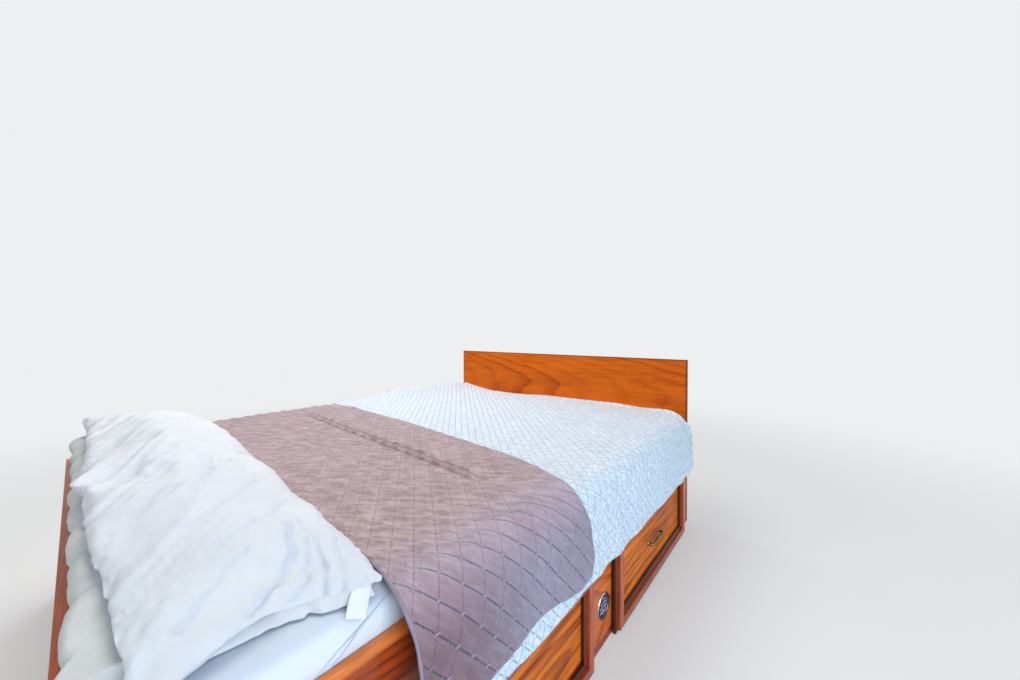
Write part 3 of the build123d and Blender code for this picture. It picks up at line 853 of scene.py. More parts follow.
def throw_grid(inwards):
    """The throw's outer surface as a grid, or one a distance inwards from it."""
    along, across = [np.linspace(0, 1, steps_of(length, throw_step) + 1) for length in throw_flat]
    share_across, share = np.meshgrid(across, along, indexing="ij")
    reach = distance_at(eased(-0.65 + 0.52 * share_across, hem), throw_radius)
    # The far hem corner is round
    to_corner = np.clip((share_across - 1) * throw_flat[1] + corner_round, 0, corner_round)
    reach = reach - (corner_round - np.sqrt(corner_round ** 2 - to_corner ** 2)) * 0.8
    distance = share * reach
    near, far = throw_edges(distance)
    return throw_surface(distance, near + share_across * (far - near), share_across, inwards)


throw_top, throw_map, throw_ridge_shade = throw_grid(0)
throw_under = throw_grid(throw_thickness)[0]
throw = thin_solid("quilted_throw", throw_top, throw_under, under_step, throw_cloth, throw_map)
# The throw's points carry the painted shade beside its ridges
coarse_ridge_shade = throw_ridge_shade[::under_step, ::under_step]
mark_fold(throw, np.concatenate([throw_ridge_shade.ravel(), coarse_ridge_shade.ravel()]).clip(0, 1))
hand_over(throw, "throw")

# %% [markdown]
# ## Tubes along a path
# Bindings, sewn folds and the brass handles are all the same idea: a small ring carried along a path. Each
# ring is turned just enough to follow the path, so the tube doesn't twist.

# %% The tube helper
def ring_faces(index):
    """Faces between rings of points, where each ring closes on itself."""
    return grid_faces(np.concatenate([index, index[:, :1]], axis=1))


def tube(name, path, radii, sides, material):
    """A closed tube. radii is one number, or one for each point."""
    path = np.asarray(path, float)
    count = len(path)
    ahead = np.gradient(path, axis=0)
    ahead /= np.linalg.norm(ahead, axis=1)[:, None]
    side = np.cross(ahead[0], (0.31, 0.17, 0.93))
    angles = np.linspace(0, 2 * np.pi, sides, endpoint=False)[:, None]
    rings = []
    for point, way, radius in zip(path, ahead, np.broadcast_to(radii, count)):
        side = side - way * (side @ way)
        side /= np.linalg.norm(side)
        rings.append(point + radius * (np.cos(angles) * side + np.sin(angles) * np.cross(way, side)))
    index = np.arange(count * sides).reshape(count, sides)
    faces = ring_faces(index)
    for middle, ring in ((count * sides, index[0]), (count * sides + 1, index[-1])):
        faces += [(middle, int(a), int(b)) for a, b in zip(ring, np.roll(ring, -1))]
    return face_outwards(new_piece(name, np.concatenate([*rings, path[:1], path[-1:]]), faces, material))


# %% Bindings round the covers
binding_radius = 0.0033


def bind_edges(name, lines, material):
    """A thin tube over every second point of the lines, which follow each other."""
    binding = tube(name, np.concatenate(lines)[::2], binding_radius, 8, material)
    hand_over(binding)
    return binding


middle = (throw_top + throw_under) / 2
throw_lines = [middle[0, 8:], middle[1:, -1], middle[-1, ::-1][1:-8]]
throw_binding = bind_edges("throw_binding", throw_lines, throw_cloth)
middle = (coverlet_top + coverlet_under) / 2
coverlet_lines = [middle[8:, -1], middle[-1, ::-1][1:-2]]
coverlet_binding = bind_edges("coverlet_binding", coverlet_lines, coverlet_cloth)

# %% [markdown]
# ## The mattress in its sheet
# The mattress is a foam block with a tight white sheet. It shows at the head end, between the duvet and the
# rail, where the sheet is tucked in and makes two slanting folds. A rounded block made as a grid keeps even
# faces, so soft hollows can be pressed into it.

# %% A rounded block, and its points
def rounded_block(low, high, radius, step):
    """Points of a box with all edges round, as six grids whose borders meet, and its faces."""
    low, high = np.array(low, float), np.array(high, float)
    middle, half = (low + high) / 2, (high - low) / 2
    points, faces, first = [], [], 0
    for axis in range(3):
        others = [a for a in range(3) if a != axis]
        counts = [max(6, round(2 * half[a] / step)) for a in others]
        grids = np.meshgrid(*[np.linspace(-1, 1, n + 1) for n in counts], indexing="ij")
        for sign in (-1, 1):
            grid = np.zeros((*grids[0].shape, 3))
            grid[..., axis] = sign * half[axis]
            for a, values in zip(others, grids):
                grid[..., a] = values * half[a]
            core = np.clip(grid, -(half - radius), half - radius)
            away = grid - core
            length = np.linalg.norm(away, axis=-1, keepdims=True)
            grid = core + away / np.maximum(length, 1e-9) * radius
            faces += grid_faces(first + np.arange(grids[0].size).reshape(grids[0].shape))
            points.append(grid.reshape(-1, 3) + middle)
            first += grids[0].size
    return np.concatenate(points), faces


def mesh_arrays(piece):
    """The places and outward directions of a piece's points."""
    places, normals = np.zeros((2, len(piece.data.vertices) * 3))
    piece.data.vertices.foreach_get("co", places)
    piece.data.vertices.foreach_get("normal", normals)
    return places.reshape(-1, 3), normals.reshape(-1, 3)


def put_points(piece, places):
    """Write the places of a piece's points."""
    piece.data.vertices.foreach_set("co", places.ravel())
    piece.data.update()


def subdivision(piece):
    """One level of subdivision."""
    finer = piece.modifiers.new("finer", "SUBSURF")
    finer.levels = finer.render_levels = 1
    return finer


# %% Press the sheet's hollows into the mattress
def front_bulge(x, z):
    """How far the sheeted front swells out to the rail."""
    return 0.0103 * smooth_step(x, 0.69, 0.732) * np.clip(1 - ((z - 0.484) / 0.07) ** 2, 0, 1)


mattress_round = 0.030
points, faces = rounded_block((mattress_low.x + 0.002, mattress_low.y + 0.002, mattress_low.z),
                              (mattress_high.x, mattress_high.y - 0.002, mattress_high.z - 0.001),
                              mattress_round, step=0.015)
mattress = face_outwards(new_piece("sheeted_mattress", points, faces, sheet_cotton))
places, _ = mesh_arrays(mattress)
x, y, z = places.T
front = smooth_step(x, 0.66, 0.72)
hollow = 0.003 * (soft_noise(places, 0.16, 31) - 0.6)
is_top = z > mattress_high.z - mattress_round
x += front_bulge(x, z)
z += np.where(is_top, hollow * (1 - front) - 0.006 * smooth_step(y, -0.60, -0.50), 0)
put_points(mattress, places)
# Painted light: the sheet is marked towards the rail, where its colour turns lighter
mark_fold(mattress, smooth_step(x, 0.722, 0.740))
subdivision(mattress)

# %% Two tucked folds
# They run slanting down the front, from the throw's corner to the rail.
crease_round = mattress_round + 0.0004
crease_start, crease_run = -0.761, 0.121
for number, (start, stop, drop) in enumerate(((0.0, 1.0, 0.0), (0.09, 0.66, 0.010)), 1):
    share = np.linspace(start, stop, 50)
    turn = np.radians(90 - 56 * np.clip((share - 0.25) / 0.75, 0, 1))
    x = mattress_high.x - mattress_round + crease_round * np.sin(turn)
    z = mattress_high.z - 0.031 + crease_round * np.cos(turn) - 0.015 * np.clip(1 - share / 0.25, 0, 1)
    z -= drop * (1 - smooth_step(share, 0.2, stop))
    path = columns(x + front_bulge(x, z), crease_start + crease_run * share, z)
    taper = 0.0015 * np.sin(np.linspace(0.15, np.pi - 0.15, len(path))) ** 0.3
    hand_over(tube(f"sheet_crease_{number}", path, taper, 8, sheet_cotton))
hand_over(mattress, "mattress")

# %% [markdown]
# ## The duvet and the folded quilt under it
# The duvet is a loose bag of filling: it swells between its seams, its corners stay pointed, and its cotton
# is a little too large for what it holds, so it wrinkles. A form made from listed outlines gives the place
# and the main heights. A cloth simulation then blows it up, with cotton that wants to be larger than the
# form, and the wrinkles come by themselves. Swelling draws the sides in, so the outline is fitted again
# afterwards.

# %% The duvet's outline and form
duvet_low_x = mattress_low.x + 0.006
duvet_high_x = 0.700
far_side = ((-0.80, -0.69, -0.15, 0.05, 0.15, 0.17, 0.33, 0.51, 0.61, 0.70),
            (-0.640, -0.618, -0.618, -0.621, -0.632, -0.626, -0.632, -0.636, -0.637, -0.642))
head_side = ((-0.80, -0.74, -0.66, -0.33, -0.14, 0.00, 0.06, 0.12, 0.35, 0.53, 0.70),
             (-0.925, -0.948, -0.938, -0.944, -0.953, -0.958, -0.966, -0.954, -0.947, -0.935, -0.928))
front_end = ((-0.93, -0.884, -0.856, -0.826, -0.795, -0.768, -0.742, -0.712, -0.685, -0.656),
             (0.712, 0.702, 0.688, 0.676, 0.671, 0.675, 0.682, 0.702, 0.717, 0.730))
ridge = ((-0.80, -0.60, -0.30, 0.14, 0.26, 0.42, 0.56, 0.64, 0.70),
         (0.634, 0.640, 0.640, 0.636, 0.621, 0.602, 0.588, 0.580, 0.558))
corner_tips = (-0.74, 0.06)
rest_low = mattress_high.z + 0.0015


def quilt_top(x):
    """The height of the folded quilt, which gets thinner towards the front."""
    return 0.575 - 0.015 * smooth_step(x, 0.35, 0.62)


def bed_under(x, y):
    """The height of what the duvet lies on."""
    on_quilt = smooth_step(-y, 0.690, 0.725) * smooth_step(-x, -0.672, -0.640)
    return rest_low + (quilt_top(x) + 0.002 - rest_low) * on_quilt


share_x, share_y = np.meshgrid(np.linspace(0, 1, 150), np.linspace(0, 1, 44), indexing="ij")
x = duvet_low_x + (duvet_high_x - duvet_low_x) * share_x
far, near_head = np.interp(x, *far_side), np.interp(x, *head_side)
y = far + share_y * (near_head - far)
x = duvet_low_x + share_x * (np.interp(y, *front_end) - duvet_low_x)
seam_far = 0.554 - 0.013 * smooth_step(share_x, 0.8, 0.97) * smooth_step(share_y, 0.03, 0.2)
seam_head = bed_under(x, near_head) + 0.014 + sum(0.028 * hill(x - tip, 0.06) for tip in corner_tips)
seam = seam_far + (seam_head - seam_far) * smooth_step(share_y, 0.1, 0.9)
from_middle = np.abs(2 * share_y - 1)
swell = (1 - from_middle ** 2.6) * (1 - share_y) + (1 - from_middle ** 5) * share_y
swell *= (1 - np.abs(2 * share_x - 1) ** 12) ** 0.55
# A slanting valley parts the duvet's two halves
valley = hill(x - (-0.07 + 0.65 * (y + 0.95)), 0.05)
top = seam + (np.interp(x, *ridge) - seam + 0.002) * swell - 0.004 * valley * swell
bottom = np.maximum(bed_under(x, y) + 0.001, seam - 0.03 * swell)
top = np.maximum(top, bottom + 0.0005)
for border in BORDERS:
    top[border] = bottom[border] = (top[border] + bottom[border]) / 2
index = np.arange(x.size).reshape(x.shape)
points = np.stack([columns(x, y, z) for z in (top, bottom)])
faces = grid_faces(index) + grid_faces(index + x.size)
duvet = face_outwards(new_piece("duvet_bag", points, faces, duvet_cotton))


# %% Blow up a padded piece
def apply_modifier(piece, modifier):
    """Fix what a modifier does into the piece's mesh."""
    with bpy.context.temp_override(object=piece, active_object=piece):
        bpy.ops.object.modifier_apply(modifier=modifier.name)


cloth_frames = 12


def swell_cloth(piece, voxel, pressure, larger, cap):
    """Remesh a form evenly, let it swell as cloth for some frames, and cap each point's move."""
    remesh = piece.modifiers.new("even faces", "REMESH")
    remesh.mode = "VOXEL"
    remesh.voxel_size = voxel
    apply_modifier(piece, remesh)
    before = mesh_arrays(piece)[0]
    cloth = piece.modifiers.new("cloth", "CLOTH")
    cloth.settings.use_pressure = True
    cloth.settings.uniform_pressure_force = pressure
    cloth.settings.shrink_min = -larger
    cloth.settings.mass = cloth.settings.bending_stiffness = 0.3
    cloth.settings.effector_weights.gravity = 0
    for frame_number in range(1, cloth_frames + 1):
        scene.frame_set(frame_number)
    apply_modifier(piece, cloth)
    scene.frame_set(1)
    move = mesh_arrays(piece)[0] - before
    length = np.linalg.norm(move, axis=1, keepdims=True)
    put_points(piece, before + move * np.minimum(1, cap / np.maximum(length, 1e-9)))
    print(piece.name, "swells by", round(length.mean() * 1000, 1), "mm on average")


def subdivide_once(piece):
    """One level of subdivision, fixed into the mesh."""
    apply_modifier(piece, subdivision(piece))
    piece.data.shade_smooth()


swell_cloth(duvet, voxel=0.0062, pressure=1.6, larger=0.035, cap=0.020)

# %% Fit the duvet's outline again
places, normals = mesh_arrays(duvet)
x, y, z = places.T


def edge_now(values, by, bins, pick, smooth):
    """The lowest or highest value in each bin along another direction, as a line at every point."""
    which = np.clip(np.digitize(by, bins) - 1, 0, len(bins) - 2)
    edge = np.array([pick(values[which == k]) for k in range(len(bins) - 1)])
    if smooth:
        edge = np.convolve(np.pad(edge, 1, "edge"), np.ones(3) / 3, "valid")
    return np.interp(by, (bins[1:] + bins[:-1]) / 2, edge)


bins = np.linspace(duvet_low_x, duvet_high_x, 41)
low_now, high_now = [edge_now(y, x, bins, pick, True) for pick in (np.min, np.max)]
share = (y - low_now) / (high_now - low_now)
low_goal, high_goal = np.interp(x, *head_side), np.interp(x, *far_side)
in_middle = smooth_step(x, duvet_low_x, duvet_low_x + 0.04)
y += (low_goal + share * (high_goal - low_goal) - y) * in_middle
front_now = edge_now(x, y, np.linspace(-0.93, -0.66, 19), np.max, False)
x += (np.interp(y, *front_end) - front_now) * smooth_step(x, front_now - 0.16, front_now)

# Long soft folds run slanting over the top, and short sharp ones fan out from the front corner
drift = 0.02 * soft_noise(places[:, :2], 0.2, 40)
slant = columns(0.86 * x - 0.51 * y, 0.51 * x + 0.86 * y + drift)
crosswise = columns(0.5 * x + 0.86 * y, 0.86 * x - 0.5 * y)
upper = smooth_step(normals[:, 2], -0.2, 0.4)
to_corner = places[:, :2] - np.array((duvet_high_x + 0.03, -0.650))
corner_distance = np.linalg.norm(to_corner, axis=1)
ray_place = columns(np.arctan2(to_corner[:, 1], -to_corner[:, 0]) / 0.17, corner_distance / 0.09)
border = 1 - np.clip(np.minimum(share, 1 - share) / 0.16, 0, 1)
lift = 0.0036 * creased_noise(slant, (0.30, 0.060), 41) + 0.0024 * creased_noise(slant, (0.13, 0.024), 42)
lift += 0.0048 * hill(corner_distance, 0.20) * creased_noise(ray_place, 1.0, 43, 0.75)
lift += 0.0013 * border * np.sin(x * 150 + 9 * soft_noise(places, 0.07, 44))
lift += 0.0015 * creased_noise(crosswise, (0.055, 0.017), 47, 0.7)
lift += 0.0014 * soft_noise(places, 0.013, 48) * smooth_step(soft_noise(places, 0.10, 49), -0.4, 0.6)
places += normals * (lift * upper)[:, None]
# Two soft corners stand out at the head end
for tip in corner_tips:
    away = np.linalg.norm(places - np.array((tip, np.interp(tip, *head_side), 0.622)), axis=1)
    places += hill(away, 0.036)[:, None] * np.array((0.0, 0.001, 0.008))

# Nothing sinks into the bed or the throw, and the bag keeps some thickness
bag_thickness = 0.004
throw_meets = -0.655          # from here towards the foot, the duvet may lie on the throw


def lift_off_bed(places, upper):
    """Keep the bag's underside on what it lies on, and its upper side a little above that."""
    lowest = bed_under(places[:, 0], places[:, 1]) + 0.0005
    places[:, 2] = np.maximum(places[:, 2], lowest + bag_thickness * upper)


lift_off_bed(places, upper)
z[:] = np.where(y > throw_meets, np.maximum(z, throw_high.z + 0.004), z)
y.clip(head_end + 0.006, -0.612, out=y)
put_points(duvet, places)
subdivide_once(duvet)

# %% Press the sharpest folds into the finer mesh
places, normals = mesh_arrays(duvet)
wavy = places[:, :2] + 0.004 * soft_noise(places, 0.03, 53)[:, None]


def fold_depth(line, width, depth):
    """How deep a fold along a line presses into the duvet."""
    nearest = np.full(len(places), 9.0)
    for first, last in itertools.pairwise(np.array(line)):
        run = last - first
        share_on = np.clip((wavy - first) @ run / (run @ run), 0, 1)
        nearest = np.minimum(nearest, np.linalg.norm(wavy - first - share_on[:, None] * run, axis=1))
    return depth * hill(nearest, width)


# Points, width and depth of each fold near the front corner, read off from where they show
sharp_folds = [
    (((0.52, -0.712), (0.60, -0.735), (0.645, -0.770), (0.668, -0.810)), 0.0060, 0.0062),
    (((0.58, -0.705), (0.655, -0.735), (0.676, -0.765)), 0.0045, 0.0042),
    (((0.50, -0.690), (0.59, -0.692), (0.655, -0.708), (0.690, -0.722)), 0.0045, 0.0040),
    (((0.60, -0.668), (0.665, -0.684), (0.698, -0.700)), 0.0040, 0.0034),
    (((0.56, -0.790), (0.60, -0.825), (0.65, -0.880)), 0.0055, 0.0030),
    (((0.30, -0.70), (0.38, -0.76), (0.44, -0.84)), 0.0060, 0.0026),
    (((0.40, -0.68), (0.48, -0.74), (0.53, -0.82)), 0.0055, 0.0028),
]
sharp = sum(fold_depth(*fold) for fold in sharp_folds)
crinkles = creased_noise(places[:, :2], (0.020, 0.011), 54) * smooth_step(places[:, 0], 0.30, 0.62)
on_top = smooth_step(normals[:, 2], -0.1, 0.4)
places += normals * ((0.0009 * crinkles - sharp) * on_top)[:, None]
lift_off_bed(places, on_top)
put_points(duvet, places)
# Painted shade: the deepest folds are marked, so the cotton turns blue-grey in them
mark_fold(duvet, np.clip(sharp / 0.006, 0, 1) * on_top * 0.55)
hand_over(duvet, "duvet")

# %% The flap along the front seam
flap_size = (0.036, 0.225)
flap_thickness = 0.002
flap_y = np.linspace(-0.885, -0.664, 90)[:, None]
flap_edge = ((-0.885, -0.850, -0.820, -0.792, -0.768, -0.752, -0.744, -0.733, -0.705, -0.690, -0.664),
             (0.671, 0.670, 0.674, 0.677, 0.682, 0.691, 0.686, 0.702, 0.715, 0.722, 0.728))
flap_width = flap_size[0] + 0.002 * soft_noise(flap_y, 0.045, 45)[:, None]
flap_share = np.linspace(0, 1, 13)
flap_x = np.interp(flap_y, *flap_edge) - flap_width + flap_width * flap_share
ripple = 0.0022 * soft_noise(columns(flap_y, flap_share), (0.018, 0.6), 46)
flap_z = mattress_high.z + 0.0145 - 0.0115 * flap_share ** 3 + np.abs(ripple) * 1.4
flap_top = columns(flap_x, flap_y, flap_z)
flap_under = flap_top - np.array((0, 0, flap_thickness))
flap = thin_solid("duvet_flap", flap_top, flap_under, 1, duvet_cotton, flap_top[..., :2])
hand_over(flap)

# %% The folded quilt
# It reaches almost to the head board, and its quilted border bulges between dark creases.
fold_low, fold_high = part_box("duvet_fold")
points, faces = rounded_block((fold_low.x + 0.006, head_end + 0.014, rest_low),
                              (fold_high.x, fold_high.y, quilt_top(0) - 0.004), radius=0.021, step=0.010)
quilt = face_outwards(new_piece("folded_quilt", points, faces, quilt_cotton))
swell_cloth(quilt, voxel=0.007, pressure=2.0, larger=0.04, cap=0.006)
places, normals = mesh_arrays(quilt)
x, y, z = places.T
lobe_place = x + 0.35 * (z - 0.55) + 0.018 * soft_noise(places[:, :1], 0.2, 50)
lobes = np.abs(np.sin(np.pi * lobe_place / 0.150)) ** 0.5
rumples = 0.0035 * soft_noise(places, 0.045, 51) + 0.0016 * soft_noise(places, 0.018, 52)
places += normals * ((0.0125 * lobes - 0.010) * smooth_step(-y, 0.88, 0.94) + rumples)[:, None]
z.clip(mattress_high.z + 0.001, quilt_top(x), out=z)
y.clip(head_end + 0.003, None, out=y)
put_points(quilt, places)
subdivide_once(quilt)
hand_over(quilt, "duvet_fold")

# %% [markdown]
# ## The blank care label
# A strip of white satin hangs from the duvet's seam over the mattress's edge. It carries no print.

# %% Bend the label over the edge
label_width, label_length, label_thickness = 0.028, 0.058, 0.0006
share_down, share_side = np.meshgrid(np.linspace(0, 1, 25), np.linspace(0, 1, 13), indexing="ij")
label_map = columns(share_down * label_length, share_side * label_width)
start, way = np.array((0.700, -0.667)), np.array((0.767, -0.642))
side = np.array((-way[1], way[0]))
flat_place = start + label_map[..., :1] * way + (share_side[..., None] - 0.5) * label_width * side
curl = 0.018 - 0.010 * share_down + 0.0015 * np.sin(share_side * np.pi)
over_edge = 0.012 * smooth_step(flat_place[..., 0], mattress_high.x - 0.022, mattress_high.x + 0.012)
label_z = mattress_high.z + curl - over_edge
label_top = np.concatenate([flat_place, label_z[..., None]], axis=-1)
label_under = label_top - np.array((0, 0, label_thickness))
label = thin_solid("blank_label", label_top, label_under, 2, label_satin, label_map)
hand_over(label, "care_label")

# %% [markdown]
# ## Brass, and turned shapes
# Rosettes, collars and the vent's ring are turned shapes: one outline spun round an axis. The handles' rods
# swell a little in the middle, as cast bows do.

# %% Metal and plastic finishes
def metal(name, light, dark, roughness, rim=None):
    """Polished metal with faint rubbing marks. rim is (start, end, screen colour): another colour that ends
    between two places along X."""
    material, tree, shader = new_material(name, Metallic=1.0)
    place = object_place(tree)
    rub = place.noise(160.0, 3.0, 0.6).ramp(0.3, 0.7)
    colour = rub.blend(light, dark)
    if rim is not None:
        colour = place.parts()[0].ramp(rim[0], rim[1], 1.0, 0.0).blend(colour, rim[2])
    feed(shader, {"Base Color": colour, "Roughness": rub.ramp(0.0, 1.0, roughness, roughness + 0.12)})
    bump(shader, rub, strength=0.1, distance=0.0002)
    return material


brass = metal("aged brass", (176, 146, 92), (104, 80, 46), roughness=0.2)
# The vent ring's sloping rim is bright, and its face is smoked
vent_metal = metal("smoked chrome", (92, 84, 100), (44, 38, 50), roughness=0.10,
                   rim=(0.7733, 0.7743, (196, 194, 204)))
# The louvres' front edges get a painted highlight
vent_plastic, tree, shader = new_material("dark glossy plastic", Coat_Weight=0.5, Coat_Roughness=0.05)
vent_place = object_place(tree)
speckle = vent_place.noise(300.0)
front_x = vent_place.parts()[0]
# Painted highlight: the louvres' front edges, between these two X, turn light lilac
edge_highlight = front_x.ramp(0.7665, 0.7684, 0.0, 0.9) * front_x.ramp(0.7688, 0.7697, 1.0, 0.0)
colour = edge_highlight.blend(speckle.blend((26, 20, 36), (44, 38, 56)), (206, 200, 222))
feed(shader, {"Base Color": colour, "Roughness": speckle.ramp(0.3, 0.7, 0.16, 0.26)})


# %% Spin an outline round an axis along X
def turned(name, outline, centre, segments, material):
    """outline is (distance along +X, radius) pairs, from one end on the axis to the other."""
    angles = np.linspace(0, 2 * np.pi, segments, endpoint=False)
    ring = columns(0, np.cos(angles), np.sin(angles))
    points = [centre + np.array((x, 0, 0)) + radius * ring for x, radius in outline]
    faces = ring_faces(np.arange(len(outline) * segments).reshape(len(outline), segments))
    return face_outwards(new_piece(name, np.concatenate(points), faces, material))


def join_pieces(pieces, name, bevel_width):
    """Several pieces of one material as one mesh, with its sharp edges softened."""
    work = bmesh.new()
    for piece in pieces:
        work.from_mesh(piece.data)
    mesh = bpy.data.meshes.new(name)
    work.to_mesh(mesh)
    work.free()
    mesh.materials.append(pieces[0].data.materials[0])
    for piece in pieces:
        bpy.data.objects.remove(piece)
    joined = link_object(name, mesh)
    bevel = joined.modifiers.new("soft edges", "BEVEL")
    bevel.width, bevel.segments, bevel.limit_method = bevel_width, 2, "ANGLE"
    return joined


# %% Cast the bow handles
handle_bend = 0.014
rod_radius, rod_swell = 0.0053, 0.0011
foot_inset, rod_inset = 0.009, 0.0066            # from the ends and the front of the handle's box
rosette = [(0, 0.0), (0, 0.0088), (0.0012, 0.0088), (0.002, 0.0080), (0.0024, 0.0066), (0.0034, 0.0060),
           (0.0046, 0.0050), (0.0060, 0.0045), (0.0060, 0.0)]
for drawer in ("near_drawer", "far_drawer"):
    low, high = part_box(f"{drawer}_handle")
    middle_y, middle_z = (low.y + high.y) / 2, (low.z + high.z) / 2
    foot_spread = (high.y - low.y) / 2 - foot_inset
    rod_x = high.x - rod_inset
    turn = np.linspace(0, np.pi / 2, 9)
    corner_x = rod_x - handle_bend + handle_bend * np.sin(turn)
    corner_y = foot_spread - handle_bend + handle_bend * np.cos(turn)
    half_x = np.concatenate([[low.x, low.x + 0.004], corner_x, [rod_x] * 3])
    half_y = np.concatenate([[foot_spread, foot_spread], corner_y, [0.026, 0.018, 0.008]])
    from_middle = np.concatenate([-half_y, half_y[::-1]])
    path = columns(np.concatenate([half_x, half_x[::-1]]), from_middle + middle_y, middle_z)
    parts = [tube("rod", path, rod_radius + rod_swell * hill(from_middle, 0.018), 20, brass)]
    for foot_y in (middle_y - foot_spread, middle_y + foot_spread):
        parts.append(turned("rosette", rosette, np.array((low.x, foot_y, middle_z)), 36, brass))
    handle = join_pieces(parts, drawer.replace("drawer", "bow_handle"), bevel_width=0.0003)
    handle.data.shade_smooth()
    hand_over(handle, f"{drawer}_handle", drawer)

# %% [markdown]
# ## Repeats by Geometry Nodes
# Louvres and stitches are one small shape, many times. A node tree takes a few points, sets the shape on
# each and hands back a plain mesh. Its sizes are named inputs, so one tree serves every place.

# %% Tree helpers
def geometry_tree(name, inputs):
    """A node tree that takes and returns a geometry, with a Finish and other named inputs."""
    inputs = {"Geometry": "Geometry", **inputs, "Finish": "Material"}
    return new_tree("Geometry", name, inputs, ("Geometry",), "Geometry")


def end_tree(tree, shape, finish):
    """The last nodes of a tree: instances made real, and their material."""
    real = add_node(tree, "RealizeInstances", shape)
    add_node(tree, "NodeGroupOutput", add_node(tree, "SetMaterial", Geometry=real, Material=finish))


def grow(name, points, edges, tree, **values):
    """Run a node tree on a few points and edges, and return a plain object with the result."""
    mesh = bpy.data.meshes.new(name)
    mesh.from_pydata(np.asarray(points, float).tolist(), edges, [])
    host = link_object(name, mesh)
    modifier = host.modifiers.new("grow", "NODES")
    modifier.node_group = tree
    for item in tree.interface.items_tree:
        label = item.name.replace(" ", "_")
        if item.in_out == "INPUT" and label in values:
            modifier[item.identifier] = values[label]
    host_now = host.evaluated_get(bpy.context.evaluated_depsgraph_get())
    result = bpy.data.meshes.new_from_object(host_now)
    host.modifiers.remove(modifier)
    host.data = result
    return host


# %% A tree for stitches along a path
stitch_inputs = {"Stitch Pitch": 0.006, "Stitch Length": 0.004, "Thread Radius": 0.0004}
stitch_tree, given = geometry_tree("stitches along a path", stitch_inputs)
line = add_node(stitch_tree, "MeshToCurve", given["Geometry"])
evened = add_node(stitch_tree, "ResampleCurve", Curve=line, Length=given["Stitch Pitch"], mode="LENGTH")
direction = add_node(stitch_tree, "InputTangent")
turn = add_node(stitch_tree, "AlignRotationToVector", Vector=direction, axis="Z")
bead = add_node(stitch_tree, "MeshUVSphere", Segments=6, Rings=5, Radius=1.0)
bead = add_node(stitch_tree, "SetShadeSmooth", bead)
thin = given["Thread Radius"]
size = add_node(stitch_tree, "CombineXYZ", thin, thin, given["Stitch Length"] * 0.5)
placed = add_node(stitch_tree, "InstanceOnPoints", Points=evened, Instance=bead, Rotation=turn, Scale=size)
end_tree(stitch_tree, placed, given["Finish"])


# %% Sew the hems
def chain(lines):
    """Points and edges of several open lines."""
    starts = np.cumsum([0] + [len(line) for line in lines])
    edges = [(i, i + 1) for start, stop in itertools.pairwise(starts.tolist())
             for i in range(start, stop - 1)]
    return np.concatenate(lines), edges


# Lines on each cover's outer surface, two grid rows in from its edge
throw_seams = chain([throw_top[8:-4, -3], throw_top[2, 8:-4], throw_top[-3, 8:-4]])
coverlet_seams = chain([coverlet_top[8:-4, -3]])
stitch_sizes = {"Stitch_Pitch": 0.0056, "Stitch_Length": 0.0040}
for slot, seams, thread in (("throw", throw_seams, brown_thread), ("coverlet", coverlet_seams, white_thread)):
    hand_over(grow(f"{slot}_stitches", *seams, stitch_tree, Finish=thread, **stitch_sizes))

# %% A tree for small bars
# The quilting stops short of each crossing and leaves a small raised bar there. Each bar starts as a line of
# three points.
bar_tree, given = geometry_tree("bars on quilting", {"Bar Radius": 0.0018})
line = add_node(bar_tree, "MeshToCurve", given["Geometry"])
place_along = add_node(bar_tree, "SplineParameter")["Factor"]
bar_width = ((place_along * 3.1416).math("SINE") * 0.6 + 0.4) * given["Bar Radius"]
profile = add_node(bar_tree, "CurvePrimitiveCircle", Resolution=6, Radius=1.0)
body = add_node(bar_tree, "CurveToMesh", Curve=line, Profile_Curve=profile, Scale=bar_width, Fill_Caps=True)
end_tree(bar_tree, add_node(bar_tree, "SetShadeSmooth", body), given["Finish"])

# %% Set a bar on each crossing of the throw
bar_half_length = 0.0066
edge_margin = 0.03            # along the cloth and as a share across it
first, second = np.meshgrid(np.arange(-60, 60), np.arange(-60, 60), indexing="ij")
bar_distance = (throw_cell[0] * (first + second)).ravel() + crossing_along
bar_y = (throw_cell[1] * (first - second)).ravel() + crossing_y + slid(bar_distance) - slid(crossing_along)
bar_near, bar_far = throw_edges(bar_distance)
bar_share = (bar_y - bar_near) / (bar_far - bar_near)
bar_limit = distance_at(eased(bar_y, hem), throw_radius) - 0.02
kept = (bar_distance > edge_margin) & (bar_distance < bar_limit)
kept &= (bar_share > edge_margin) & (bar_share < 1 - edge_margin)
bar_distance, bar_y, bar_share = bar_distance[kept], bar_y[kept], bar_share[kept]
_, _, out_x, out_z = cover_path(bar_distance, throw_radius)
outwards = columns(out_x, 0, out_z)
stand_out = 0.0016 * smooth_step(bar_distance, flat_run - 0.08, flat_run + 0.04) - 0.0012
bar_lines = [throw_surface(bar_distance, bar_y + shift, bar_share)[0] + stand_out[:, None] * outwards
             for shift in (-bar_half_length, 0.0, bar_half_length)]
bars = chain(list(np.stack(bar_lines, axis=1)))
hand_over(grow("throw_bars", *bars, bar_tree, Finish=bar_cloth))

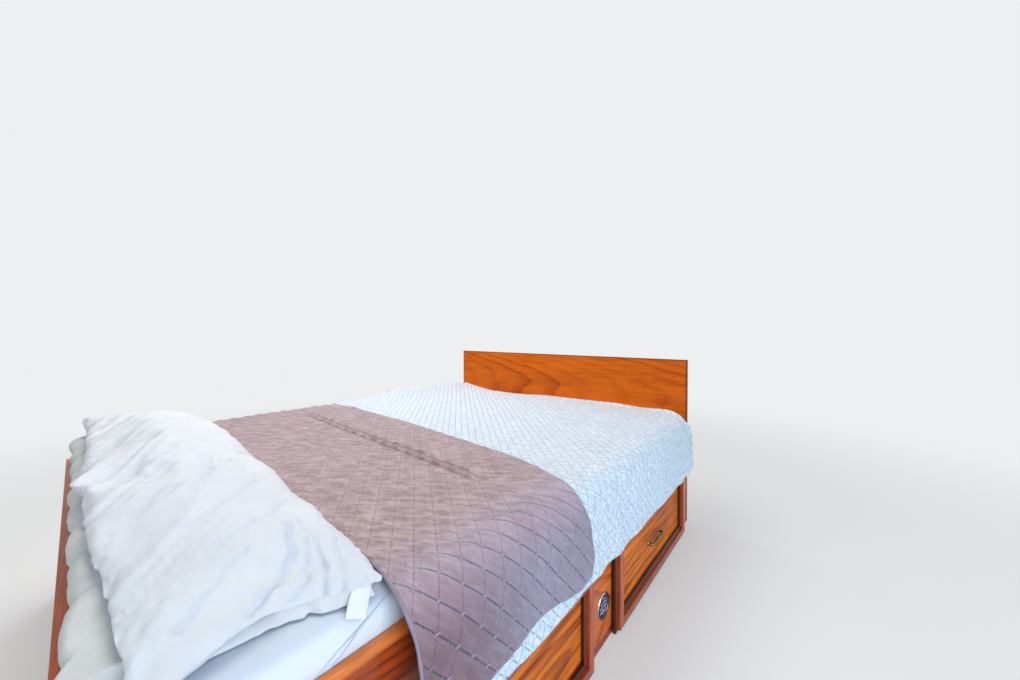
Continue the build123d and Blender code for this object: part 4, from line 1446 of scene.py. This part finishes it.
# %% A tree for the vent's louvres
blade_shape = (0.0105, 1.0, 0.0016)
louvre_inputs = {"Count": 5, "Pitch": 0.01, "Radius": 0.027, "Tilt": 0.7}
louvre_tree, given = geometry_tree("louvres in a round vent", louvre_inputs)
row = add_node(louvre_tree, "MeshLine", Count=given["Count"])
number = add_node(louvre_tree, "InputIndex")
rise = (number - (given["Count"] - 1.0) * 0.5) * given["Pitch"]
spot = add_node(louvre_tree, "CombineXYZ", None, None, rise)
spread = add_node(louvre_tree, "SetPosition", Geometry=row, Position=spot)
rest = given["Radius"] * given["Radius"] - rise * rise
chord = rest.math("MAXIMUM", 0.000001).math("SQRT") * 1.98
blade = add_node(louvre_tree, "MeshCube", Size=blade_shape)
angles = add_node(louvre_tree, "CombineXYZ", None, given["Tilt"])
size = add_node(louvre_tree, "CombineXYZ", 1.0, chord, 1.0)
placed = add_node(louvre_tree, "InstanceOnPoints", Points=spread, Instance=blade, Rotation=angles, Scale=size)
end_tree(louvre_tree, placed, given["Finish"])

# %% Fit the vent
ring_low, ring_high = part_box("vent_ring")
insert_low, insert_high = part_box("vent_insert")
vent_centre = np.array((rail_high.x, (ring_low.y + ring_high.y) / 2, (ring_low.z + ring_high.z) / 2))
ring_radius = (ring_high.z - ring_low.z) / 2
well_radius = (insert_high.z - insert_low.z) / 2
louvre_depth = 0.0055
ring_outline = [
    (-0.021, 0.0283), (0.0038, 0.0283), (0.0050, 0.0292), (0.0050, 0.0330), (0.0044, 0.0352),
    (0.0030, 0.0374), (0.0012, ring_radius - 0.0004), (0.0001, ring_radius), (0.0001, 0.0315),
    (-0.021, 0.0315), (-0.021, 0.0283),
]
dish_outline = [
    (-0.0148, 0.0), (-0.0148, well_radius - 0.0002), (0.0018, well_radius - 0.0002),
    (0.0028, well_radius - 0.0012), (0.0018, well_radius - 0.0026), (-0.0115, well_radius - 0.0030),
    (-0.0125, 0.0),
]
knob_outline = [(-0.006, 0.0), (-0.006, 0.0050), (0.0006, 0.0046), (0.0016, 0.0034), (0.0018, 0.0)]
hand_over(turned("vent_rim", ring_outline, vent_centre, 72, vent_metal), "vent_ring")
louvres = grow("louvres", [(0, 0, 0)], [], louvre_tree, Count=4, Pitch=0.0118, Radius=well_radius - 0.003,
               Tilt=0.75, Finish=vent_plastic)
louvres.data.transform(Matrix.Translation(vent_centre - np.array((louvre_depth, 0, 0))))
insert_parts = [turned("dish", dish_outline, vent_centre, 72, vent_plastic), louvres,
                turned("knob", knob_outline, vent_centre, 32, vent_plastic)]
vent_insert = join_pieces(insert_parts, "vent_louvres", bevel_width=0.0004)
hand_over(vent_insert, "vent_insert")
